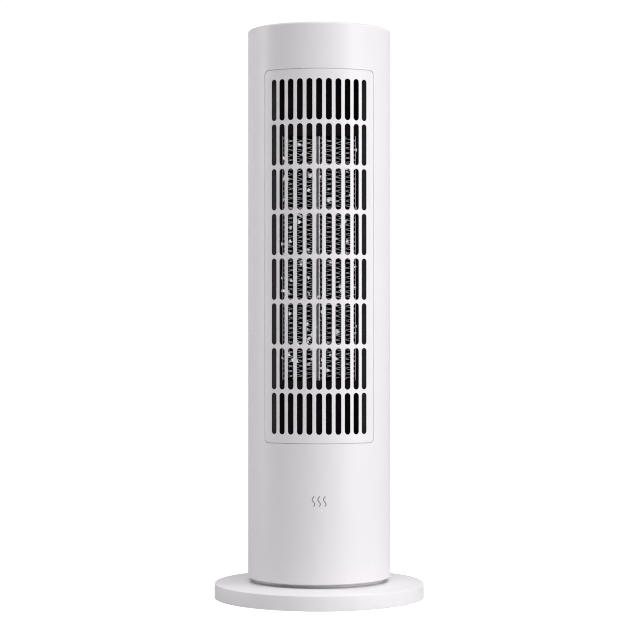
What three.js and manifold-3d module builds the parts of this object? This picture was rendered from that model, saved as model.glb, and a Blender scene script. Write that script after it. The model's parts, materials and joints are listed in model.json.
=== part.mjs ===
// Tower fan convector heater on a round swivel base.
// A cross-flow fan draws air in through the back, blows it through a PTC heating element with
// corrugated aluminium fins, and out through the slotted front panel. The tower swings on the base.
// Millimetres, +Z up, the air outlet faces -Y, origin on the floor under the middle of the base.

import * as THREE from "three";
import { mergeVertices } from "three/addons/utils/BufferGeometryUtils.js";
import Module from "manifold-3d";

const wasm = await Module();
wasm.setup();

// ---------------------------------------------------------------- driving dimensions
const GAP = 0.3; // between pieces that touch
const WALL = 2.5; // moulded walls

const TOWER_R = 65.25;
const TOWER_BOTTOM = 18.9;
const TOWER_TOP = 519;
const SHELL_SEAM_DEG = 93.75; // front shell and rear shell meet here, measured from the front
const FACETS = 40; // round the tower

const BASE_R = 96;
const BASE_RIM_TOP = 13.8;
const BASE_BOTTOM = 0.3;
const NECK_R = 59;
const NECK_TOP = 23;

const GRILLE_BOTTOM = 144.7;
const GRILLE_TOP = 477.3;
const GRILLE_HALF_WIDTH = 48.4;
const GRILLE_CORNER_R = 3.5;
const GRILLE_GROOVE = 0.7; // open line between the panel and the shell
const SLOT_ROWS = 8;
const SLOT_COLUMNS = 11;
const SLOT_PITCH_DEG = 7.6;
const SLOT_WIDTH = 5.35;
const SLOT_LENGTH = 37;
const SLOT_ROW_PITCH = 39.93;
const SLOT_FIRST = 152.4;

const INLET_BOTTOM = 150;
const INLET_TOP = 470;
const INLET_HALF_WIDTH = 38.5;
const INLET_SLOT_WIDTH = 4;
const INLET_SLOT_LENGTH = 99;
const INLET_ROW_PITCH = 104.8;
const INLET_ROWS = 3;
const INLET_COLUMNS = 9;
const INLET_PITCH_DEG = 7.5;

const HEATER_BOTTOM = 200;
const HEATER_TOP = 419.6;
const HEATER_FRONT = -38.5;
const HEATER_BACK = -23.5;
const FIN_PITCH = 8.62; // two folds
const FIN_SHEET = 0.5;
const CENTRE_BAR_HALF = 1;
const TUBE_INNER = 11.6; // the PTC tubes, measured from the middle
const TUBE_OUTER = 14.6;
const HEATER_HALF_WIDTH = 34;
const HEATER_FRAME_HALF_WIDTH = 36.2;
const HEATER_FRAME_BOTTOM = 190.5;
const HEATER_FRAME_TOP = 432.5;

const FAN_Y = 22; // the fan's axis stands behind the tower's axis
const FAN_R = 28;
const FAN_BOTTOM = 189;
const FAN_TOP = 431;
const FAN_BLADES = 18;
const SHAFT_R = 3;

const GEAR_MODULE = 1.5;
const GEAR_TEETH = 48; // of the full circle that the fixed sector is part of
const PINION_TEETH = 12;
const PINION_Y = -(GEAR_MODULE * (GEAR_TEETH + PINION_TEETH)) / 2;
const GEAR_BOTTOM = 28.3;
const GEAR_TOP = 31.3;

const BUTTON_Y = -14;
const BUTTONS = [
  { name: "minus_button", x: -36, r: 5.6 },
  { name: "mode_button", x: -19, r: 5.6 },
  { name: "power_button", x: 0, r: 7.2 },
  { name: "swing_button", x: 19, r: 5.6 },
  { name: "plus_button", x: 36, r: 5.6 },
];

// ---------------------------------------------------------------- materials
const finish = (color, roughness, metalness = 0) =>
  new THREE.MeshStandardMaterial({ color, roughness, metalness });
const whitePlastic = finish(0xe9e8ea, 0.45);
const baseWhite = finish(0xeeedef, 0.42);
const blackPlastic = finish(0x1c1b1d, 0.6);
const darkLens = finish(0x0c0c0e, 0.12);
const aluminium = finish(0xb9babd, 0.35, 0.9);
const steel = finish(0x9a9b9e, 0.4, 0.9);
const castSteel = finish(0x55565a, 0.6, 0.7);
const rubber = finish(0x3a3a3c, 0.85);
const nylon = finish(0xd8d6cf, 0.5);
const circuitBoard = finish(0x1f5a3c, 0.5);
const motorCase = finish(0x8d9094, 0.45, 0.7);
const relayCase = finish(0x22324a, 0.5);
const greyFan = finish(0x4a4b4e, 0.5);

// ---------------------------------------------------------------- geometry helpers
const radians = THREE.MathUtils.degToRad;

// A closed geometry as a manifold-3d solid.
function solidOf(geometry) {
  const bare = geometry.index ? geometry.toNonIndexed() : geometry.clone();
  bare.deleteAttribute("normal");
  bare.deleteAttribute("uv");
  const merged = mergeVertices(bare, 1e-4);
  return new wasm.Manifold(
    new wasm.Mesh({
      numProp: 3,
      vertProperties: merged.attributes.position.array,
      triVerts: new Uint32Array(merged.index.array),
    }),
  );
}

// The finished surface, without the needless points that boolean steps leave along flat faces.
function geometryOf(solid) {
  const mesh = solid.asOriginal().simplify(0.002).getMesh();
  const geometry = new THREE.BufferGeometry();
  geometry.setAttribute("position", new THREE.BufferAttribute(mesh.vertProperties, 3));
  geometry.setIndex(new THREE.BufferAttribute(mesh.triVerts, 1));
  const flat = geometry.toNonIndexed();
  flat.computeVertexNormals();
  return flat;
}

// Boolean steps take geometries or solids, and give a solid.
const asSolid = (shape) => (shape instanceof wasm.Manifold ? shape : solidOf(shape));
const join = (...shapes) => shapes.map(asSolid).reduce((a, b) => a.add(b));
const cut = (shape, ...tools) => tools.map(asSolid).reduce((a, b) => a.subtract(b), asSolid(shape));
const overlap = (a, b) => asSolid(a).intersect(asSolid(b));

// A box between two corners.
function box([x0, y0, z0], [x1, y1, z1]) {
  const shape = new THREE.BoxGeometry(x1 - x0, y1 - y0, z1 - z0);
  return shape.translate((x0 + x1) / 2, (y0 + y1) / 2, (z0 + z1) / 2);
}

// A solid turned about Z from a closed profile of [radius, height] points. The first flat faces front.
function turned(profile, { x = 0, y = 0, segments = 24 } = {}) {
  const closed = [...profile, profile[0]].map(([r, z]) => new THREE.Vector2(r, z));
  const shape = new THREE.LatheGeometry(closed, segments, Math.PI / segments);
  return shape.rotateX(Math.PI / 2).translate(x, y, 0);
}

// The profile's points go up the outside, so that the faces point out.
const rod = (r, z0, z1, place = {}) =>
  turned([[0, z0], [r, z0], [r, z1], [0, z1]], { segments: 16, ...place });
const tube = (inner, outer, z0, z1, place = {}) =>
  turned([[inner, z0], [outer, z0], [outer, z1], [inner, z1]], place);

// The same about an axis along Y, for profiles of [radius, y] points.
function turnedAlongY(profile, { x = 0, z = 0, segments = 12 } = {}) {
  const shape = turned(profile.map(([r, y]) => [r, y]), { segments });
  return shape.rotateX(-Math.PI / 2).translate(x, 0, z);
}
const rodAlongY = (r, y0, y1, place) =>
  turnedAlongY([[0, y0], [r, y0], [r, y1], [0, y1]], place);

// A flat outline of [x, y] points, or a THREE.Shape, raised from z0 to z1.
function prism(outline, z0, z1, curveSegments = 3) {
  const shape = Array.isArray(outline)
    ? new THREE.Shape(outline.map(([x, y]) => new THREE.Vector2(x, y)))
    : outline;
  const solid = new THREE.ExtrudeGeometry(shape, { depth: z1 - z0, bevelEnabled: false, curveSegments });
  return solid.translate(0, 0, z0);
}

// An outline in the XZ plane, pushed through from y0 to y1.
const prismAlongY = (outline, y0, y1, curveSegments) =>
  prism(outline, 0, y1 - y0, curveSegments).rotateX(Math.PI / 2).translate(0, y1, 0);

function roundedRect(halfWidth, low, high, r) {
  const shape = new THREE.Shape();
  shape.moveTo(halfWidth, low + r);
  shape.absarc(halfWidth - r, high - r, r, 0, Math.PI / 2);
  shape.absarc(-halfWidth + r, high - r, r, Math.PI / 2, Math.PI);
  shape.absarc(-halfWidth + r, low + r, r, Math.PI, 1.5 * Math.PI);
  shape.absarc(halfWidth - r, low + r, r, 1.5 * Math.PI, 2 * Math.PI);
  return shape;
}

// A slot with round ends, each end in three flats.
function slotOutline(width, low, high) {
  const r = width / 2;
  const end = (z, from) =>
    Array.from({ length: 4 }, (_, i) => {
      const angle = from + (i * Math.PI) / 3;
      return [r * Math.cos(angle), z + r * Math.sin(angle)];
    });
  return [...end(high - r, 0), ...end(low + r, Math.PI)];
}

// A pie slice round Z between two angles measured from the front, for cutting rings.
function pie(from, to, r = 90) {
  const steps = 8;
  const rim = Array.from({ length: steps + 1 }, (_, i) => radians(from + ((to - from) * i) / steps));
  return prism([[0, 0], ...rim.map((a) => [r * Math.sin(a), -r * Math.cos(a)])], -10, 600);
}

// A line of points made into a wall of constant thickness.
function wallOutline(points, thickness) {
  const side = (sign) =>
    points.map(([x, y], i) => {
      const before = points[Math.max(i - 1, 0)];
      const after = points[Math.min(i + 1, points.length - 1)];
      const along = new THREE.Vector2(after[0] - before[0], after[1] - before[1]).normalize();
      return [x - (sign * along.y * thickness) / 2, y + (sign * along.x * thickness) / 2];
    });
  return [...side(-1), ...side(1).reverse()];
}

const heater = new THREE.Group();
function add(name, shape, material) {
  const mesh = new THREE.Mesh(geometryOf(asSolid(shape)), material);
  mesh.name = name;
  heater.add(mesh);
}

// ---------------------------------------------------------------- base
const BASE_SCREW_RING = 39; // the base screws and the tip-over plunger stand on this circle
const SCREW_R = 1.4;
const BASE_PLATE_BOTTOM = 1.8;
const BASE_PLATE_TOP = 3.8;
const POST_R = 26.6;
const POST_INNER_R = 20;
const PLUNGER_R = 4;

const onRing = (r, degrees) => ({ x: r * Math.cos(radians(degrees)), y: r * Math.sin(radians(degrees)) });
const baseScrewPlaces = [30, 150, 270].map((a) => onRing(BASE_SCREW_RING, a));
const plungerPlace = onRing(BASE_SCREW_RING, 90);

function baseCover() {
  const crown = 15.5; // where the top meets the neck
  const skin = turned(
    [
      [BASE_R, BASE_BOTTOM],
      [BASE_R, BASE_RIM_TOP - 0.8],
      [BASE_R - 0.8, BASE_RIM_TOP],
      [NECK_R, crown],
      [NECK_R, NECK_TOP - 0.6],
      [NECK_R - 0.6, NECK_TOP],
      [POST_R + GAP, NECK_TOP],
      [POST_R + GAP, NECK_TOP - WALL],
      [NECK_R - WALL, NECK_TOP - WALL],
      [NECK_R - WALL, crown - WALL],
      [BASE_R - WALL, BASE_RIM_TOP - WALL],
      [BASE_R - WALL, BASE_BOTTOM],
    ],
    { segments: FACETS },
  );
  const bossFoot = BASE_PLATE_TOP + GAP;
  const bosses = baseScrewPlaces.map((at) => rod(3.6, bossFoot, NECK_TOP - 1, { ...at, segments: 10 }));
  const pilots = baseScrewPlaces.map((at) => rod(SCREW_R + GAP, 0, 13, { ...at, segments: 8 }));
  return cut(join(skin, ...bosses), ...pilots);
}

function basePlate() {
  const plate = turned(
    [
      [0, BASE_PLATE_BOTTOM],
      [BASE_R - WALL - 0.6, BASE_PLATE_BOTTOM],
      [BASE_R - WALL - 0.6, BASE_PLATE_TOP],
      [32.5, BASE_PLATE_TOP],
      [32.5, 17.4],
      [28.5, 17.4],
      [28.5, BASE_PLATE_TOP],
      [0, BASE_PLATE_TOP],
    ],
    { segments: 30 },
  );
  const holes = baseScrewPlaces.map((at) => rod(SCREW_R + 0.4, 0, 6, { ...at, segments: 8 }));
  return cut(plate, ...holes, rod(PLUNGER_R + 0.5, 0, 6, plungerPlace));
}

add("base_cover", baseCover(), baseWhite);
add("base_plate", basePlate(), whitePlastic);
add("ballast_ring", tube(46, 84, BASE_PLATE_TOP + GAP, 9.1, { segments: 24 }), castSteel);
[45, 135, 225, 315].forEach((degrees, i) => {
  const pad = rod(8, 0, BASE_PLATE_BOTTOM - GAP, { ...onRing(80, degrees), segments: 16 });
  add(`foot_pad_${i + 1}`, pad, rubber);
});
baseScrewPlaces.forEach((at, i) => {
  const screw = turned(
    [[0, 0.45], [3, 0.45], [3, 1.5], [SCREW_R, 1.5], [SCREW_R, 12], [0, 12.6]],
    { ...at, segments: 8 },
  );
  add(`base_screw_${i + 1}`, screw, steel);
});

// Tip-over switch: its plunger is pushed in while the heater stands, and drops out when it is lifted.
add(
  "tip_plunger",
  turned(
    [[0, 0], [PLUNGER_R - 0.8, 0], [PLUNGER_R, 0.8], [PLUNGER_R, 8.3], [5.4, 8.3], [5.4, 9.6],
      [PLUNGER_R, 9.6], [PLUNGER_R, 11.6], [0, 11.6]],
    { ...plungerPlace, segments: 12 },
  ),
  nylon,
);
add("tip_switch", box([-10, 36, 12.1], [10, 42, 20.2]), blackPlastic);

// ---------------------------------------------------------------- swivel
// The post is clamped in the base. The tower floor turns round it on the slide ring, and the fixed
// gear sector on the post's top keeps the tower down. The geared motor walks its pinion round it.
function gearTooth(teeth, r, { backlash = 0.28, root, degrees, steps }) {
  const pressure = radians(25);
  const involute = (a) => Math.tan(a) - a;
  const baseCircle = r * Math.cos(pressure);
  const tip = r + GEAR_MODULE;
  const halfAngle = (at) => {
    const flank = at > baseCircle ? involute(Math.acos(baseCircle / at)) : 0;
    return Math.PI / (2 * teeth) - backlash / (2 * r) + involute(pressure) - flank;
  };
  const start = Math.max(baseCircle, root);
  const rises = Array.from({ length: steps + 1 }, (_, i) => start + ((tip - start) * i) / steps);
  const flank = [[root - 1, halfAngle(start)], ...rises.map((at) => [at, halfAngle(at)])];
  const outline = [...flank, ...flank.map(([at, a]) => [at, -a]).reverse()];
  const turn = radians(degrees);
  return prism(
    outline.map(([at, a]) => [at * Math.cos(turn - a), at * Math.sin(turn - a)]),
    GEAR_BOTTOM,
    GEAR_TOP,
  );
}

const FLOOR_TOP = 27.6;
const RIB_BOTTOM = 27; // the rib inside the shells that holds the tower's floor
const RIB_HEIGHT = 1.6;
const gearScrewPlaces = [45, 225].map((a) => onRing(23.4, a));

function swivelPost() {
  const post = turned(
    [
      [POST_INNER_R, 17.7],
      [33, 17.7],
      [33, NECK_TOP - WALL - GAP],
      [POST_R, NECK_TOP - WALL - GAP],
      [POST_R, GEAR_BOTTOM - GAP],
      [POST_INNER_R, GEAR_BOTTOM - GAP],
    ],
    { segments: 24 },
  );
  return cut(post, ...gearScrewPlaces.map((at) => rod(SCREW_R + GAP, 19, 30, { ...at, segments: 8 })));
}

function swivelGear() {
  const pitchR = (GEAR_MODULE * GEAR_TEETH) / 2;
  const root = pitchR - 1.25 * GEAR_MODULE;
  const pitchDeg = 360 / GEAR_TEETH;
  const plate = tube(POST_INNER_R, root, GEAR_BOTTOM, GEAR_TOP, { segments: 32 });
  const teeth = Array.from({ length: 14 }, (_, i) =>
    gearTooth(GEAR_TEETH, pitchR, { root, degrees: -90 + (i - 6.5) * pitchDeg, steps: 1 }),
  );
  const holes = gearScrewPlaces.map((at) => rod(SCREW_R + 0.4, 20, 40, { ...at, segments: 8 }));
  return cut(join(plate, ...teeth), ...holes);
}

function swivelPinion() {
  const pitchR = (GEAR_MODULE * PINION_TEETH) / 2;
  const root = pitchR - 1.25 * GEAR_MODULE;
  const teeth = Array.from({ length: PINION_TEETH }, (_, i) =>
    gearTooth(PINION_TEETH, pitchR, { root, degrees: 90 + (i * 360) / PINION_TEETH, steps: 1 }),
  );
  const hub = rod(root, GEAR_BOTTOM, GEAR_TOP, { segments: 24 });
  return join(hub, ...teeth, rod(2.5, GEAR_BOTTOM, 38.8, { segments: 12 }));
}

function swivelMotor() {
  const bodyY = PINION_Y + 8; // the output shaft stands 8 mm off the can's middle
  const can = rod(14, 36.5, 55.5, { y: bodyY, segments: 24 });
  const ears = box([-21, bodyY - 3.5, 36.5], [21, bodyY + 3.5, 37.5]);
  const boss = rod(4.5, 34.8, 37, { y: PINION_Y, segments: 12 });
  return cut(join(can, ears, boss), rod(2.5 + GAP, 30, 39.2, { y: PINION_Y, segments: 12 }));
}

// The floor's rim has a groove, and a rib inside the two shells grips it there.
function towerFloor() {
  const plate = turned(
    [
      [POST_R + 0.5, FLOOR_TOP - WALL],
      [62.3, FLOOR_TOP - WALL],
      [62.3, RIB_BOTTOM - GAP],
      [60.3, RIB_BOTTOM - GAP],
      [60.3, RIB_BOTTOM + RIB_HEIGHT + GAP],
      [62.3, RIB_BOTTOM + RIB_HEIGHT + GAP],
      [62.3, RIB_BOTTOM + RIB_HEIGHT + GAP + 1.4],
      [57.5, RIB_BOTTOM + RIB_HEIGHT + GAP + 1.4],
      [57.5, FLOOR_TOP],
      [POST_R + 0.5, FLOOR_TOP],
    ],
    { segments: 24 },
  );
  const standoffs = [-17.5, 17.5].map((x) =>
    rod(2.5, FLOOR_TOP - 1, 36.2, { x, y: PINION_Y + 8, segments: 8 }),
  );
  return join(plate, ...standoffs);
}

add("swivel_post", swivelPost(), nylon);
add("slide_ring", tube(50, 58, NECK_TOP + GAP, 24.8, { segments: 24 }), nylon);
add("swivel_gear", swivelGear(), nylon);
gearScrewPlaces.forEach((at, i) => {
  const screw = turned(
    [[0, 20], [SCREW_R, 20.6], [SCREW_R, GEAR_TOP + GAP], [2.8, GEAR_TOP + GAP], [2.4, 33.6], [0, 33.6]],
    { ...at, segments: 8 },
  );
  add(`gear_screw_${i + 1}`, screw, steel);
});
add("tower_floor", towerFloor(), whitePlastic);
add("swivel_motor", swivelMotor(), motorCase);
add("swivel_pinion", swivelPinion().translate([0, PINION_Y, 0]), nylon);

// ---------------------------------------------------------------- shell
const CAP_R = 60.6;
const CAP_TOP = 518.6;
const CAP_BOTTOM = 515.9;
const SHELL_SCREW_X = 48;
const SHELL_SCREW_HEIGHTS = [125, 492];
const GLAND_Z = 40;
const HANDLE_BOTTOM = 480;
const HANDLE_TOP = 504;
const HANDLE_HALF_WIDTH = 36;
const INNER_R = TOWER_R - WALL;

// Both shells are parts of this ring, with a rolled rim and a ledge for the top cap.
function shellRing() {
  const lip = CAP_R + GAP;
  const ledge = 2.4;
  return turned(
    [
      [TOWER_R - 0.8, TOWER_BOTTOM],
      [TOWER_R, TOWER_BOTTOM + 0.9],
      [TOWER_R, TOWER_TOP - 2],
      [TOWER_R - 2, TOWER_TOP],
      [lip, TOWER_TOP],
      [lip, CAP_BOTTOM - GAP],
      [lip - ledge, CAP_BOTTOM - GAP],
      [lip - ledge, CAP_BOTTOM - GAP - 2],
      [INNER_R, CAP_BOTTOM - 6.5],
      [INNER_R, RIB_BOTTOM + RIB_HEIGHT],
      [INNER_R - 1.7, RIB_BOTTOM + RIB_HEIGHT],
      [INNER_R - 1.7, RIB_BOTTOM],
      [INNER_R, RIB_BOTTOM],
      [INNER_R, TOWER_BOTTOM],
    ],
    { segments: FACETS },
  );
}

const seamGapDeg = THREE.MathUtils.radToDeg(GAP / TOWER_R);
const shellScrewPlaces = SHELL_SCREW_HEIGHTS.flatMap((z) => [
  { x: -SHELL_SCREW_X, z },
  { x: SHELL_SCREW_X, z },
]);

// A screw boss inside the tower, trimmed to stay clear of its skin.
function shellBoss(at, r, y0, y1) {
  const within = rod(TOWER_R - 1, TOWER_BOTTOM, TOWER_TOP, { segments: FACETS });
  return overlap(rodAlongY(r, y0, y1, { ...at, segments: 8 }), within);
}

function frontShell() {
  const shell = overlap(shellRing(), pie(-SHELL_SEAM_DEG, SHELL_SEAM_DEG));
  const window = prismAlongY(
    roundedRect(
      GRILLE_HALF_WIDTH + GRILLE_GROOVE,
      GRILLE_BOTTOM - GRILLE_GROOVE,
      GRILLE_TOP + GRILLE_GROOVE,
      GRILLE_CORNER_R + GRILLE_GROOVE,
    ),
    -80,
    0,
  );
  const bosses = shellScrewPlaces.map((at) => shellBoss(at, 4.4, -50, 19.6));
  const pilots = shellScrewPlaces.map((at) => rodAlongY(SCREW_R + GAP, 6, 30, { ...at, segments: 8 }));
  return cut(join(cut(shell, window), ...bosses), ...pilots);
}

function rearShell() {
  const ring = overlap(shellRing(), pie(SHELL_SEAM_DEG + seamGapDeg, 360 - SHELL_SEAM_DEG - seamGapDeg));
  const inlet = prismAlongY(
    roundedRect(INLET_HALF_WIDTH + GAP, INLET_BOTTOM - GAP, INLET_TOP + GAP, GRILLE_CORNER_R),
    10,
    80,
  );
  const handle = box(
    [-HANDLE_HALF_WIDTH, 20, HANDLE_BOTTOM],
    [HANDLE_HALF_WIDTH, 80, HANDLE_TOP],
  );
  const bosses = shellScrewPlaces.map((at) => shellBoss(at, 5.6, 19.9, 50));
  const heads = shellScrewPlaces.map((at) => rodAlongY(3.6, 26, 60, { ...at, segments: 8 }));
  const shanks = shellScrewPlaces.map((at) => rodAlongY(SCREW_R + 0.4, 10, 30, { ...at, segments: 8 }));
  const glandHole = rodAlongY(6.5, 50, 80, { z: GLAND_Z, segments: 16 });
  return cut(join(cut(ring, inlet, handle), ...bosses), ...heads, ...shanks, glandHole);
}

// A piece of the tower's wall in flats that each carry one column of slots, centred on the front.
function wallBand(flats, pitchDeg, low, high) {
  const angles = Array.from({ length: flats + 1 }, (_, i) => radians((i - flats / 2) * pitchDeg));
  const arc = (r) => angles.map((a) => [r * Math.sin(a), -r * Math.cos(a)]);
  return prism([...arc(TOWER_R), ...arc(INNER_R).reverse()], low, high);
}

function slotGrid({ columns, rows, pitchDeg, width, length, first, rowPitch }) {
  const slots = [];
  for (let column = 0; column < columns; column++) {
    const turn = radians((column - (columns - 1) / 2) * pitchDeg);
    for (let row = 0; row < rows; row++) {
      const low = first + row * rowPitch;
      const slot = prismAlongY(slotOutline(width, low, low + length), -80, -40);
      slots.push(slot.rotateZ(turn));
    }
  }
  return slots;
}

function frontGrille() {
  const band = wallBand(SLOT_COLUMNS + 4, SLOT_PITCH_DEG, GRILLE_BOTTOM, GRILLE_TOP);
  const outline = roundedRect(GRILLE_HALF_WIDTH, GRILLE_BOTTOM, GRILLE_TOP, GRILLE_CORNER_R);
  const slots = slotGrid({
    columns: SLOT_COLUMNS,
    rows: SLOT_ROWS,
    pitchDeg: SLOT_PITCH_DEG,
    width: SLOT_WIDTH,
    length: SLOT_LENGTH,
    first: SLOT_FIRST,
    rowPitch: SLOT_ROW_PITCH,
  });
  return cut(overlap(band, prismAlongY(outline, -80, 0)), ...slots);
}

// The air inlet is made facing front, then turned to the back.
function rearGrille() {
  const band = wallBand(INLET_COLUMNS + 2, INLET_PITCH_DEG, INLET_BOTTOM, INLET_TOP);
  const outline = roundedRect(INLET_HALF_WIDTH, INLET_BOTTOM, INLET_TOP, GRILLE_CORNER_R);
  const slots = slotGrid({
    columns: INLET_COLUMNS,
    rows: INLET_ROWS,
    pitchDeg: INLET_PITCH_DEG,
    width: INLET_SLOT_WIDTH,
    length: INLET_SLOT_LENGTH,
    first: INLET_BOTTOM + 5.7,
    rowPitch: INLET_ROW_PITCH,
  });
  return cut(overlap(band, prismAlongY(outline, -80, 0)), ...slots).rotate([0, 0, 180]);
}

// A framed dust screen lies behind the inlet. Its cloth is finer than this model goes.
function dustScreen() {
  const sheet = tube(60.6, 61.6, INLET_BOTTOM - 2, INLET_TOP + 2);
  const frame = overlap(sheet, pie(142, 218));
  const bays = 4;
  const bayHeight = (INLET_TOP - INLET_BOTTOM - 4) / bays;
  const windows = Array.from({ length: bays }, (_, i) => {
    const low = INLET_BOTTOM + 2 + i * bayHeight;
    return prismAlongY(roundedRect(33, low + 1.5, low + bayHeight - 1.5, 2), 30, 80, 1);
  });
  return cut(frame, ...windows);
}

// A cup let into the rear shell for the fingers, to carry the heater by.
function handleCup() {
  const outer = box(
    [-HANDLE_HALF_WIDTH + 0.4, 42, HANDLE_BOTTOM + 0.4],
    [HANDLE_HALF_WIDTH - 0.4, 80, HANDLE_TOP - 0.4],
  );
  const inner = box(
    [-HANDLE_HALF_WIDTH + 2.4, 44, HANDLE_BOTTOM + 2.4],
    [HANDLE_HALF_WIDTH - 2.4, 90, HANDLE_TOP - 2.4],
  );
  return cut(overlap(outer, rod(TOWER_R, 400, 519, { segments: FACETS })), inner);
}

add("front_shell", frontShell(), whitePlastic);
add("rear_shell", rearShell(), whitePlastic);
add("front_grille", frontGrille(), whitePlastic);
add("rear_grille", rearGrille(), whitePlastic);
add("dust_screen", dustScreen(), blackPlastic);
add("handle_cup", handleCup(), whitePlastic);
add(
  "cord_gland",
  turnedAlongY([[3.7, 56], [6.1, 56], [6.1, 66], [8.2, 66], [7, 69.5], [3.7, 69.5]], {
    z: GLAND_Z,
    segments: 16,
  }),
  rubber,
);
shellScrewPlaces.forEach(({ x, z }, i) => {
  const profile = [[0, 7], [SCREW_R, 7.6], [SCREW_R, 26.3], [3, 26.3], [2.6, 28.6], [0, 28.6]];
  add(`shell_screw_${i + 1}`, turnedAlongY(profile, { x, z, segments: 8 }), steel);
});

// ---------------------------------------------------------------- control panel
const BOARD_TOP = 508.1;
const DISPLAY_Y = 18;
const DISPLAY_HALF = [19, 7];

function displayRect(extra) {
  const [halfWidth, halfDepth] = DISPLAY_HALF;
  return roundedRect(halfWidth + extra, DISPLAY_Y - halfDepth - extra, DISPLAY_Y + halfDepth + extra, 3);
}

function topCap() {
  const disc = turned(
    [[0, CAP_BOTTOM], [CAP_R, CAP_BOTTOM], [CAP_R, CAP_TOP], [0, CAP_TOP]],
    { segments: FACETS },
  );
  const posts = [60, 180, 300].map((a) =>
    rod(2.2, BOARD_TOP + GAP, CAP_BOTTOM + 1, { ...onRing(45, a), segments: 6 }),
  );
  const holes = BUTTONS.map(({ x, r }) => rod(r + 0.4, 500, 530, { x, y: BUTTON_Y, segments: 16 }));
  return cut(join(disc, ...posts), ...holes, prism(displayRect(GAP), 500, 530));
}

function button({ x, r }) {
  return turned(
    [[0, 512.6], [r + 1.4, 512.6], [r + 1.4, 513.9], [r, 513.9], [r, TOWER_TOP], [0, TOWER_TOP]],
    { x, y: BUTTON_Y, segments: 16 },
  );
}

function controlBoard() {
  const board = rod(50, BOARD_TOP - 1.6, BOARD_TOP, { segments: 24 });
  const switches = BUTTONS.map(({ x }) =>
    box([x - 3, BUTTON_Y - 3, BOARD_TOP - 0.5], [x + 3, BUTTON_Y + 3, 511.5]),
  );
  return join(board, ...switches);
}

add("top_cap", topCap(), whitePlastic);
add(
  "display_window",
  join(prism(displayRect(0), 514.2, CAP_TOP - 0.2), prism(displayRect(2), 514.2, 515.6)),
  darkLens,
);
BUTTONS.forEach((place) => add(place.name, button(place), whitePlastic));
add("control_board", controlBoard(), circuitBoard);

// ---------------------------------------------------------------- outlet duct and heating element
// A black duct backs the outlet panel: its flange shows behind the outer slots, its box holds the element.
function outletDuct() {
  const flange = box([-44, -43.6, 146.5], [44, -41.6, 475.5]);
  const outer = box([-38.6, -42, 148], [38.6, -18.5, 474]);
  const inner = box([-36.6, -60, 150], [36.6, -20.5, 472]);
  const throat = box([-36.6, -30, 192], [36.6, 0, 431]);
  return cut(join(flange, outer), inner, throat);
}

function ptcFrame() {
  const frame = box(
    [-HEATER_FRAME_HALF_WIDTH, HEATER_FRONT - 1.5, HEATER_FRAME_BOTTOM],
    [HEATER_FRAME_HALF_WIDTH, HEATER_BACK + 1.5, HEATER_FRAME_TOP],
  );
  const window = box(
    [-HEATER_HALF_WIDTH, -60, HEATER_BOTTOM - GAP],
    [HEATER_HALF_WIDTH, 0, HEATER_TOP + GAP],
  );
  return cut(frame, window);
}

// A sheet folded to and fro between two walls, seen along the air's way. Its thickness is measured
// across the leg, so the outline stands off sideways by more than half of it.
function finPack(x0, x1) {
  const legWidth = x1 - x0;
  const half = (FIN_SHEET / 2) * Math.hypot(1, (2 * legWidth) / FIN_PITCH);
  const clear = half + 0.05;
  const folds = Math.floor((2 * (HEATER_TOP - HEATER_BOTTOM - 2)) / FIN_PITCH);
  const foot = (HEATER_TOP + HEATER_BOTTOM - (folds * FIN_PITCH) / 2) / 2;
  const line = Array.from({ length: folds + 1 }, (_, i) => [
    i % 2 ? x1 - clear : x0 + clear,
    foot + (i * FIN_PITCH) / 2,
  ]);
  const right = line.map(([x, z]) => [x + half, z]);
  const left = line.map(([x, z]) => [x - half, z]);
  return prismAlongY([...right, ...left.reverse()], HEATER_FRONT, HEATER_BACK);
}

add("outlet_duct", outletDuct(), blackPlastic);
add("ptc_frame", ptcFrame(), blackPlastic);
add(
  "ptc_centre_bar",
  box([-CENTRE_BAR_HALF, HEATER_FRONT - 1, HEATER_BOTTOM], [CENTRE_BAR_HALF, HEATER_BACK, HEATER_TOP]),
  aluminium,
);
[
  { side: "left", sign: -1 },
  { side: "right", sign: 1 },
].forEach(({ side, sign }) => {
  const between = (near, far) => [Math.min(sign * near, sign * far), Math.max(sign * near, sign * far)];
  const [tube0, tube1] = between(TUBE_INNER, TUBE_OUTER);
  const tubeShape = box([tube0, HEATER_FRONT, HEATER_BOTTOM], [tube1, HEATER_BACK, HEATER_TOP]);
  add(`ptc_tube_${side}`, tubeShape, aluminium);
  add(`heat_fins_${side}_inner`, finPack(...between(CENTRE_BAR_HALF, TUBE_INNER)), aluminium);
  add(`heat_fins_${side}_outer`, finPack(...between(TUBE_OUTER, HEATER_HALF_WIDTH)), aluminium);
});
add(
  "thermal_cutout",
  turnedAlongY([[0, -18.2], [11, -18.2], [11, -17], [8, -17], [8, -11], [0, -11]], {
    z: 456,
    segments: 16,
  }),
  blackPlastic,
);

// ---------------------------------------------------------------- blower
const BLOWER_FLOOR = [184, 186.5];
const BLOWER_CEILING = [437, 439.5];
const BLOWER_WALLS = [BLOWER_FLOOR[1] + GAP, BLOWER_CEILING[0] - GAP];

// The rear guide opens as a spiral from near the wheel to the duct's right side.
function scroll() {
  const from = 50;
  const to = -45;
  const start = FAN_R + 4;
  const growth = 0.318; // per radian
  const steps = 12;
  const points = Array.from({ length: steps + 1 }, (_, i) => {
    const degrees = from + ((to - from) * i) / steps;
    const r = start * Math.exp(growth * radians(from - degrees));
    return [r * Math.cos(radians(degrees)), FAN_Y + r * Math.sin(radians(degrees))];
  });
  return prism(wallOutline(points, 2), ...BLOWER_WALLS);
}

const tongue = () =>
  prism(wallOutline([[-37.6, -17], [-31.5, -3], [-28, 5], [-31, 9], [-38, 12]], 2), ...BLOWER_WALLS);

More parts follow.
